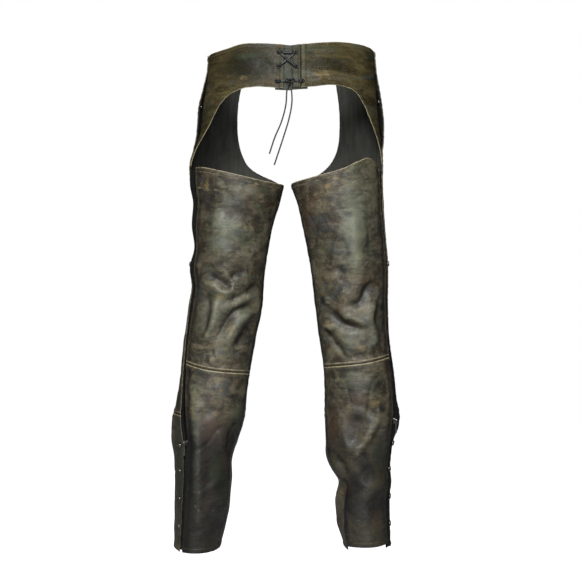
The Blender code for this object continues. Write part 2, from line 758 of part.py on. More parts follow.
def slider(side):
    """The zip's slider with the bridge for its pull tab, and the tab, which hangs straight down."""
    height = SLIDER_HEIGHT[side]
    angle = zip_angle(side, height)
    out = outward(side, angle, height)
    flat_out = Vector((out.x, out.y, 0)).normalized()
    base = frame_at(placed(side, angle, height, CHAIN_THICK - HIDE + 2 * GAP), flat_out)
    wide, tall, thick = SLIDER
    body = block("zip_slider_" + side, "nickel", SLIDER, (0, 0, thick / 2), base, 0.0006)
    bail_wide, bail_tall, bail_high = BAIL
    sunk = 0.0006
    bail_middle = thick - sunk + (bail_high + sunk) / 2
    bail_size = (bail_wide, bail_tall, bail_high + sunk)
    bail = block("bail_" + side, "nickel", bail_size, (0, 0, bail_middle), base)
    tunnel_low, tunnel_high = thick + 0.0002, thick + bail_high - BAIL_ROOF
    tunnel_size = (bail_wide * 2, bail_tall - 2 * BAIL_POST, tunnel_high - tunnel_low)
    tunnel_centre = (0, 0, (tunnel_low + tunnel_high) / 2)
    combine(body, bail, "UNION")
    combine(body, block("tunnel_" + side, "nickel", tunnel_size, tunnel_centre, base), "DIFFERENCE")

    strip = 0.0007  # half the width of the tab's top strip, which turns in the tunnel
    hinge = base @ Matrix.Translation((0, 0.0005, tunnel_centre[2]))
    line = bpy.data.curves.new("pull_tab_" + side, "CURVE")
    line.dimensions = "2D"
    line.fill_mode = "BOTH"
    line.extrude = TAB_THICK / 2
    eye, neck, end = TAB_WIDE / 2, 0.0027, strip - TAB_LONG
    outline = [(-eye, strip), (-eye, -0.0060), (-neck, -0.0085), (-neck, end + 0.001), (-neck + 0.001, end)]
    outline += [(-x, y) for x, y in reversed(outline)]
    hole = [(-0.0019, -strip), (0.0019, -strip), (0.0019, -0.0056), (-0.0019, -0.0056)]
    for corners in (outline, hole):
        spline = line.splines.new("POLY")
        spline.points.add(len(corners) - 1)
        for target, (x, y) in zip(spline.points, corners):
            target.co = (x, y, 0, 1)
        spline.use_cyclic_u = True
    line.materials.append(material("nickel"))
    tab = bpy.data.objects.new("pull_tab_" + side, line)
    tab.matrix_world = hinge
    parts.objects.link(tab)


# Snaps, belt and lacing


def snap(name, matrix):
    """A snap's cap: a low turned dome."""

    def build(bm):
        middle = Matrix.Translation((0, 0, SNAP_HIGH / 2))
        low, high = SNAP_R, SNAP_R * 0.7
        bmesh.ops.create_cone(
            bm, cap_ends=True, segments=10, radius1=low, radius2=high, depth=SNAP_HIGH, matrix=middle
        )

    primitive(name, "nickel", build, matrix)


def leg_snaps(side):
    """The row of snaps on the lower leg beside the zip, and the rivet higher up on the front panel's edge."""
    for number, (height, angle) in enumerate(zip(SNAP_HEIGHTS, SNAP_ANGLES[side]), 1):
        on_panel = angle < leg(side, "front_edge", height)

        def out(at_angle, at_height):
            return GAP if on_panel else tape_out(side, at_angle, at_height) + 3 * GAP

        snap(f"leg_snap_{side}_{number}", seat(side, angle, height, out))
    rivet_angle = leg(side, "front_edge", RIVET_HEIGHT) - 6
    snap("side_rivet_" + side, seat(side, rivet_angle, RIVET_HEIGHT, lambda angle, height: GAP))


def belt_point(angle, up, out):
    """A point on the belt's line round the front: up from its middle and out from the hips' oval."""
    side, own = half(angle)
    middle = edge(WAIST_TOP, side, own) - BELT_DROP - BELT_TALL / 2
    return placed(side, own, middle + up, out)


def belt_frame(angle, out):
    """A frame on the belt's middle line, square to the belt."""
    point = belt_point(angle, 0, out)
    return frame_at(point, belt_point(angle, 0, out + 1) - point)


def strap(name, angles, out_at, taper_at):
    """A belt strap from its columns' angles."""
    grid = []
    for share in (-0.5, 0, 0.5):
        row = [belt_point(angle, share * BELT_TALL * taper_at(angle), out_at(angle)) for angle in angles]
        grid.append(row)
    return shell(name, "hide", grid, BELT_THICK, angles[-1] < angles[0])


def belt():
    """The waist belt: the left strap holds the buckle, and the right one runs through it."""
    opposite = -180  # the right hip's angle, counted round the front
    heel_end = -turn_at(HEEL_X + BUCKLE_WIRE + GAP)
    left = spread(BELT_HIP, PANEL_END, 14) + spread(PANEL_END, heel_end, 5)[1:]
    strap("belt_left", left, lambda angle: BELT_OUT, lambda angle: 1)

    tip, rise_start, rise_end = -turn_at(STRAP_TIP), -turn_at(STRAP_RISE[0][0]), -turn_at(STRAP_RISE[-1][0])
    leaves_panel = opposite - PANEL_END
    right = spread(opposite - BELT_HIP, leaves_panel, 14) + spread(leaves_panel, rise_start, 5)[1:]
    right += spread(rise_start, rise_end, 6)[1:] + spread(rise_end, tip, 6)[1:]
    rise = [(-turn_at(x), out) for x, out in STRAP_RISE]
    taper_start = -turn_at(STRAP_TIP - STRAP_TAPER)

    def taper(angle):
        return 1 - 0.65 * max((angle - taper_start) / (tip - taper_start), 0) ** 2

    crossing = strap("belt_right", right, lambda angle: float(np.interp(angle, *zip(*rise))), taper)
    long_hole = Matrix.Diagonal((1.25, 1, 1, 1))

    def build(bm):
        bmesh.ops.create_cone(
            bm, cap_ends=True, segments=12, radius1=HOLE_R, radius2=HOLE_R, depth=0.012, matrix=long_hole
        )

    hole_frame = belt_frame(-turn_at(HOLE_X), STRAP_RISE[1][1])
    combine(crossing, primitive("prong_hole", "hide", build, hole_frame), "DIFFERENCE")


def buckle():
    """The buckle's wire frame, its prong, and the leather keeper for the strap's end."""
    heel, far = -turn_at(HEEL_X), -turn_at(FAR_X)
    in_heel, in_far = -turn_at(HEEL_X - 0.0009), -turn_at(FAR_X + 0.0009)
    bar, corner = RAIL - 0.0045, RAIL - 0.0011
    upper = [(heel, bar, HEEL_OUT), (in_heel, corner, HEEL_OUT + 0.0001)]
    for share in (0.12, 0.35, 0.65, 0.88):
        upper.append((heel + (far - heel) * share, RAIL, HEEL_OUT + (FAR_OUT - HEEL_OUT) * share))
    upper += [(in_far, corner, FAR_OUT), (far, bar, FAR_OUT), (far, 0, FAR_OUT)]
    ring = upper + [(angle, -up, out) for angle, up, out in reversed(upper[:-1])]
    tube("buckle_frame", "nickel", [belt_point(*stop) for stop in ring], BUCKLE_WIRE, cyclic=True)

    prong = (
        (0.0114, 0.0033), (0.0106, 0.0048), (0.0088, 0.0066), (0.0060, 0.0085), (0.0020, 0.0092),
        (-0.0080, 0.0092), (-0.0180, 0.0094), (-0.0245, 0.0094), (-0.0280, 0.0090),
    )  # fmt: skip
    tube("buckle_prong", "nickel", [belt_point(-turn_at(x), 0, out) for x, out in prong], PRONG_WIRE)

    at, low, high = -turn_at(KEEPER_X), BELT_OUT - BELT_THICK - 0.0005, STRAP_RISE[-1][1] + 0.0005
    base = belt_frame(at, (low + high) / 2)
    inside = (KEEPER_WIDE * 1.2, BELT_TALL + 0.0010, high - low)
    outside = (KEEPER_WIDE, inside[1] + 2 * KEEPER_THICK, inside[2] + 2 * KEEPER_THICK)
    keeper = block("belt_keeper", "hide", outside, (0, 0, 0), base, 0.0005)
    combine(keeper, block("keeper_inside", "hide", inside, (0, 0, 0), base), "DIFFERENCE")


def back_point(x, height, out):
    """A point over the yoke, at a distance x from the middle plane."""
    side, own = half(turn_at(x))
    return placed(side, own, height, out)


def eyelet(number, x, height):
    """An eyelet's flange: a round profile turned about the hole."""
    name = f"eyelet_{number}"
    mesh = bpy.data.meshes.new(name)
    bm = bmesh.new()
    profile = [
        bm.verts.new((EYELET_R + EYELET_WIRE * math.cos(turned), 0, EYELET_WIRE * (1 + math.sin(turned))))
        for turned in (math.radians(72 * k + 54) for k in range(5))
    ]
    for a, b in zip(profile, profile[1:] + profile[:1]):
        bm.edges.new((b, a))
    bm.to_mesh(mesh)
    bm.free()
    made = add(mesh, name, "nickel")
    spin = made.modifiers.new("turn", "SCREW")
    spin.steps = spin.render_steps = 12
    spin.use_merge_vertices = True
    spin.merge_threshold = 1e-5
    side, own = half(turn_at(x))
    made.matrix_world = seat(side, own, height, lambda angle, height: GAP)


def out_of_eyelet(start, end):
    """A lace's way out of an eyelet's hole and over its rim, towards an end: x, height, out."""
    away = Vector((end[0] - start[0], end[1] - start[1])).normalized()
    rim = ((0.0, 0.0019), (0.0010, 0.0036), (0.0033, 0.0046), (0.0062, 0.0033), (0.0090, 0.0019))
    return [(start[0] + away.x * far, start[1] + away.y * far, out) for far, out in rim]


def lace(name, stops):
    """A stretch of lace over the yoke."""
    tube(name, "lace", [back_point(*stop) for stop in stops], LACE_R)


def lacing():
    """Eyelets, the crossed lace between them, its knot and its two tails."""
    for number, (x, height) in enumerate(EYELETS, 1):
        eyelet(number, x, height)
    one, two, three, four, five, six = EYELETS
    lace("lace_top", out_of_eyelet(one, four) + out_of_eyelet(four, one)[::-1])

    low, over = LACE_R + GAP, 3 * LACE_R + 2 * GAP
    clear = EYELET_R + EYELET_WIRE + 2 * GAP  # a crossed lace stops short of the next eyelet's rim

    def short_of(start, end):
        run = Vector((start[0] - end[0], start[1] - end[1])).normalized() * clear
        return end[0] + run.x, end[1] + run.y

    def between(start, end, share, out):
        return start[0] + (end[0] - start[0]) * share, start[1] + (end[1] - start[1]) * share, out

    lace("lace_cross_under", out_of_eyelet(two, four) + [(*short_of(two, four), low)])
    stop = short_of(five, one)
    rise = ((0.36, over), (0.56, over), (0.74, low + 0.0008))
    hump = [between(five, stop, share, out) for share, out in rise]
    lace("lace_cross_over", out_of_eyelet(five, one)[:3] + hump + [(*stop, low)])

    knot_x, knot_height = KNOT_CENTRE
    wide, tall, deep = KNOT_SIZE
    for name, start, reach in (("lace_low_left", three, wide), ("lace_low_right", six, -wide)):
        end = (knot_x + reach * 1.06, knot_height)
        lace(name, out_of_eyelet(start, end) + [(*end, 0.0026)])

    def build(bm):
        sizes = Matrix.Diagonal((*KNOT_SIZE, 1))
        bmesh.ops.create_uvsphere(bm, u_segments=12, v_segments=8, radius=1, matrix=sizes)
        for vert in bm.verts:
            turned = math.atan2(vert.co.z / deep, vert.co.x / wide)
            vert.co *= 1 - 0.09 * (1 + math.sin(3 * turned + 4 * vert.co.y / tall))

    side, own = half(turn_at(knot_x))
    base = seat(side, own, knot_height, lambda angle, height: deep + GAP)
    primitive("lace_knot", "lace", build, base)
    for side, route in TAILS.items():
        points = [(x, y, height - WAIST) for x, y, height in route]
        tube("lace_tail_" + side, "lace", eased(points, LACE_PITCH), LACE_R)


def main():
    for old in list(bpy.data.objects):
        bpy.data.objects.remove(old)
    bpy.context.scene.collection.children.link(parts)
    bpy.context.scene.collection.children.link(guides)
    for side in SIGN:
        back_panels(side)
        front_panels(side)
        pocket_facing(side)
        yoke(side)
        zip_fittings(side)
        slider(side)
        leg_snaps(side)
    centre_back()
    belt()
    buckle()
    lacing()


main()
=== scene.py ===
"""Leather riding chaps, filled out as worn: the finish of every piece around the fixed model.

Metres, +Z up. The garment's front faces -Y and its back faces the camera at +Y; the wearer's left is +X.
Heights in the tables are above the hems, as a cutter measures them.
"""

import json
import math

import bmesh
import bpy
import numpy as np
from mathutils import Matrix, Vector

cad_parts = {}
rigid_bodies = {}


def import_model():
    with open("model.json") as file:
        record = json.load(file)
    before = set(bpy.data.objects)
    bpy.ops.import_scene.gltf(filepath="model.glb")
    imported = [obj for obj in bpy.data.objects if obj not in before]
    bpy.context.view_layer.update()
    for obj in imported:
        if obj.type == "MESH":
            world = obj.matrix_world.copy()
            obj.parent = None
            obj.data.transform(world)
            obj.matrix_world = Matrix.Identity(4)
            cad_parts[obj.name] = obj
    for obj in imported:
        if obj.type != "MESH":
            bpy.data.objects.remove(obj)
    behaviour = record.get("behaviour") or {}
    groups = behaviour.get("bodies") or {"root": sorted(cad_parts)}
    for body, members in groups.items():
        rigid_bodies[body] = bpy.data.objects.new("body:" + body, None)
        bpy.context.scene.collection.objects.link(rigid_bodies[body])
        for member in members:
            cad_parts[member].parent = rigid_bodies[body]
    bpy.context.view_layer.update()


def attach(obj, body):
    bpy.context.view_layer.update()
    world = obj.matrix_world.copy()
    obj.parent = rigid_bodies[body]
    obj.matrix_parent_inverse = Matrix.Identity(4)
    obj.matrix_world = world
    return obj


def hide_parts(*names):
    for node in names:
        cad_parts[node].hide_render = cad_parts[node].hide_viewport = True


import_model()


# ---- The studio ----
# A white room with a pale floor well below the hems, one broad soft light over the camera's left shoulder and
# a weaker one beside it. The camera stands behind the wearer, level with the thighs.

WAIST = 0.985  # height of the origin above the hems
CAMERA_PLACE = (-0.002, 2.4, -0.448)
CAMERA_LENS = 70.94  # mm, on a 36 mm sensor
FLOOR_DROP, FLOOR_REACH, FLOOR_GREY = 0.30, 12.0, 0.25  # below the hems; half its width; how pale it is
SEEN, LIT = 0.97, 0.03  # the room's white: what the camera alone sees, and what lights the garment
LIGHTS = (  # name, place, aimed at, width, height, watts
    ("key_light", (0.25, 1.9, 0.90), (0.0, 0.0, -0.35), 0.6, 1.1, 72),
    ("fill_light", (-0.15, 2.6, -0.25), (0.0, 0.0, -0.35), 0.9, 0.9, 21),
    ("front_light", (0.2, -2.6, 1.2), (0.0, 0.0, -0.4), 1.2, 1.2, 85),
)

for kind in ("LIGHT", "CAMERA"):
    for old in [thing for thing in bpy.data.objects if thing.type == kind]:
        bpy.data.objects.remove(old)
room = bpy.context.scene.collection.objects

camera = bpy.data.objects.new("camera", bpy.data.cameras.new("camera"))
camera.data.lens = CAMERA_LENS
camera.location = CAMERA_PLACE
camera.rotation_euler = (math.radians(90), 0, math.radians(180))
room.link(camera)
bpy.context.scene.camera = camera

for name, place, aim, wide, tall, watts in LIGHTS:
    lamp = bpy.data.lights.new(name, "AREA")
    lamp.shape, lamp.size, lamp.size_y, lamp.energy = "RECTANGLE", wide, tall, watts
    light = bpy.data.objects.new(name, lamp)
    light.location = place
    light.rotation_euler = (Vector(aim) - Vector(place)).to_track_quat("-Z", "Y").to_euler()
    room.link(light)


def linear(code):
    """A colour written as RRGGBB, in the renderer's linear values."""
    parts = [int(code[i : i + 2], 16) / 255 for i in (0, 2, 4)]
    return tuple(c / 12.92 if c <= 0.04045 else ((c + 0.055) / 1.055) ** 2.4 for c in parts) + (1.0,)


def operator(operation, reflected=False):
    """A wire's method for a sum, or for its reflected form, in which the wire comes second."""

    def summed(self, other):
        first, second = (other, self) if reflected else (self, other)
        return self.maths(operation, first, second)

    return summed


class Wire:
    """A node's output that can stand in sums: each sum adds its Math node."""

    def __init__(self, mix, socket):
        self.mix, self.socket = mix, socket

    def maths(self, operation, first, second):
        return self.mix.node("ShaderNodeMath", {"operation": operation}, {0: first, 1: second})

    __add__, __radd__ = operator("ADD"), operator("ADD", True)
    __sub__, __rsub__ = operator("SUBTRACT"), operator("SUBTRACT", True)
    __mul__, __rmul__ = operator("MULTIPLY"), operator("MULTIPLY", True)


class Finish:
    """A material being made, or another tree of nodes."""

    def __init__(self, name, tree=None):
        self.material = None
        if tree is None:
            self.material = bpy.data.materials.new(name)
            self.material.use_nodes = True
            tree = self.material.node_tree
        self.tree = tree

    def give(self, node, name, value):
        """Sets a node's socket, or links it to a wire."""
        if isinstance(value, Wire):
            self.tree.links.new(value.socket, node.inputs[name])
        else:
            node.inputs[name].default_value = value

    def node(self, kind, settings=None, sockets=None, output=0):
        """A node of a type, its settings, and the values or wires of its sockets; gives one output."""
        made = self.tree.nodes.new(kind)
        for name, value in (settings or {}).items():
            setattr(made, name, value)
        for name, value in (sockets or {}).items():
            self.give(made, name, value)
        return Wire(self, made.outputs[output])

    def paint(self, shader="Principled BSDF", **sockets):
        """Sets or links a shader's own sockets, named with _ for a blank."""
        for name, value in sockets.items():
            self.give(self.tree.nodes[shader], name.replace("_", " "), value)

    def where(self):
        """Places on the piece itself, in metres."""
        return self.node("ShaderNodeTexCoord", output=3)

    def noise(self, where, scale, detail, rough=0.5, distortion=0.0):
        """Soft random patches, about as many to a metre as the scale."""
        sockets = {"Vector": where, "Scale": scale, "Detail": detail, "Roughness": rough}
        return self.node("ShaderNodeTexNoise", None, {**sockets, "Distortion": distortion})

    def blend(self, factor, first, second):
        """Two colours, as codes or as wires, mixed by a factor."""
        first, second = [linear(colour) if isinstance(colour, str) else colour for colour in (first, second)]
        return self.node("ShaderNodeMix", {"data_type": "RGBA"}, {0: factor, 6: first, 7: second}, output=2)

    def bump(self, strength, height):
        """The Normal of a relief whose height is in metres."""
        return self.node("ShaderNodeBump", None, {"Strength": strength, "Distance": 1.0, "Height": height})


world = bpy.data.worlds.new("white_room")
world.use_nodes = True
bpy.context.scene.world = world
sky = Finish("white_room", world.node_tree)
sky.paint("Background", Color=(1, 1, 1, 1), Strength=sky.node("ShaderNodeLightPath") * SEEN + LIT)
bpy.context.scene.view_settings.view_transform = "Standard"

pale = Finish("pale_floor")
pale.paint(Base_Color=(FLOOR_GREY, FLOOR_GREY, FLOOR_GREY, 1), Roughness=1.0, Emission_Color=(1, 1, 1, 1))
pale.paint(Emission_Strength=pale.node("ShaderNodeLightPath") * SEEN + LIT)
signs = ((-1, -1), (1, -1), (1, 1), (-1, 1))
floor_mesh = bpy.data.meshes.new("floor")
corners = [(x * FLOOR_REACH, y * FLOOR_REACH, -WAIST - FLOOR_DROP) for x, y in signs]
floor_mesh.from_pydata(corners, [], [(0, 1, 2, 3)])
floor_mesh.materials.append(pale.material)
floor = bpy.data.objects.new("floor", floor_mesh)
room.link(floor)


# ---- Backs of the thighs ----
# Two panels of 1.5 mm distressed cowhide, grain side out. Each runs from the zip to the inner leg seam, with
# its top edge turned over and topstitched, and is sewn to the calf panel at the back knee seam.

HIDE = 0.0015  # thickness of the leather
CLOTH = 0.0010  # thickness of the zip tape and of the pocket facing
GAP = 0.0003  # between neighbours that touch
SEAM = 0.0005  # between the panels at the inner leg seam
CROTCH = 0.758  # height at which the inner leg seams end
HIP_CENTRE = -0.005
HIP_START, HIP_FULL = 0.780, 0.880
NOSE = 0.45  # how far a leg's oval is drawn out to a ridge at the zip
SIDES = {"left": 1, "right": -1}

# Sections of each leg, by height. inner and outer are distances from the middle plane; angles run from the
# outermost line (0) over the back (90) to the innermost line (180).
# Columns: height, inner, outer, back edge at the zip, front edge at the zip, inner seam
LEGS = {
    "left": (
        (0.000, 0.1440, 0.2416, 58, 50, 164), (0.070, 0.1275, 0.2410, 58, 50, 163),
        (0.144, 0.1195, 0.2399, 60, 52, 162), (0.190, 0.1180, 0.2422, 63, 54, 162),
        (0.224, 0.1070, 0.2464, 64, 55, 164), (0.259, 0.0956, 0.2464, 58, 48, 167),
        (0.306, 0.0897, 0.2361, 47, 36, 170), (0.370, 0.0811, 0.2273, 37, 26, 173),
        (0.440, 0.0688, 0.2195, 32, 21, 174), (0.510, 0.0550, 0.2100, 33, 17, 175),
        (0.544, 0.0530, 0.2040, 32, 8, 175), (0.587, 0.0490, 0.2080, 31, -2, 176),
        (0.625, 0.0426, 0.1987, 25, -4, 177), (0.671, 0.0340, 0.2042, 31, -4, 178),
        (0.720, 0.0193, 0.2013, 32, -4, 179), (0.758, 0.0113, 0.2080, 33, -3, 180),
        (0.795, 0.0110, 0.2073, 33, 3, 180), (0.860, 0.0110, 0.1990, 33, 6, 180),
    ),
    "right": (
        (0.000, 0.1160, 0.2130, 34, 9, 150), (0.050, 0.1010, 0.2114, 34, 8, 144),
        (0.107, 0.0977, 0.2113, 35, 8, 140), (0.138, 0.1035, 0.2143, 34, 8, 142),
        (0.159, 0.0900, 0.2122, 31, 6, 150), (0.191, 0.0777, 0.2137, 27, 4, 162),
        (0.226, 0.0767, 0.2200, 33, 2, 170), (0.250, 0.0756, 0.2298, 42, 0, 172),
        (0.280, 0.0750, 0.2311, 38, -2, 173), (0.306, 0.0744, 0.2263, 32, -2, 174),
        (0.360, 0.0735, 0.2206, 30, -2, 174), (0.442, 0.0624, 0.2099, 26, -2, 174),
        (0.510, 0.0544, 0.2070, 25, 6, 175), (0.592, 0.0435, 0.2076, 24, 13, 176),
        (0.665, 0.0294, 0.2023, 25, 15, 178), (0.720, 0.0170, 0.1985, 25, 15, 179),
        (0.758, 0.0046, 0.1975, 25, 15, 180), (0.795, 0.0040, 0.1954, 26, 12, 180),
        (0.860, 0.0040, 0.1960, 27, 6, 180),
    ),
}
INNER, OUTER, BACK_EDGE, FRONT_EDGE, INNER_SEAM = range(1, 6)
# Columns: height, depth in front of the leg's middle, depth behind it
DEPTHS = (
    (0.000, 0.080, 0.076), (0.100, 0.077, 0.080), (0.200, 0.079, 0.087), (0.300, 0.084, 0.084),
    (0.380, 0.088, 0.078), (0.500, 0.094, 0.084), (0.620, 0.099, 0.091), (0.758, 0.104, 0.098),
    (0.860, 0.110, 0.108),
)
# Columns: height, left, right, front, back, measured from HIP_CENTRE
HIPS = (
    (0.780, 0.2100, 0.1900, 0.112, 0.112), (0.800, 0.2065, 0.1895, 0.112, 0.114),
    (0.840, 0.1960, 0.1880, 0.112, 0.118), (0.880, 0.1890, 0.1845, 0.111, 0.121),
    (0.920, 0.1855, 0.1805, 0.109, 0.121), (0.960, 0.1790, 0.1780, 0.107, 0.119),
    (1.000, 0.1742, 0.1755, 0.105, 0.116), (1.040, 0.1717, 0.1720, 0.104, 0.114),
)
# The height of each edge at an angle from the side seam. Columns: angle, height
THIGH_TOP = {
    "left": (
        (25, 0.7900), (46, 0.7880), (73, 0.7780), (102, 0.7665), (128, 0.7585), (150, 0.7565), (180, 0.7565),
    ),
    "right": (
        (20, 0.7830), (30, 0.7960), (42, 0.8060), (62, 0.7980), (82, 0.7840), (125, 0.7660), (180, 0.7575),
    ),
}
KNEE_BACK = {
    "left": ((-190, 0.362), (-100, 0.374), (-20, 0.387), (20, 0.387), (90, 0.373), (180, 0.362)),
    "right": ((-190, 0.375), (-100, 0.387), (-20, 0.399), (20, 0.399), (90, 0.387), (180, 0.375)),
}
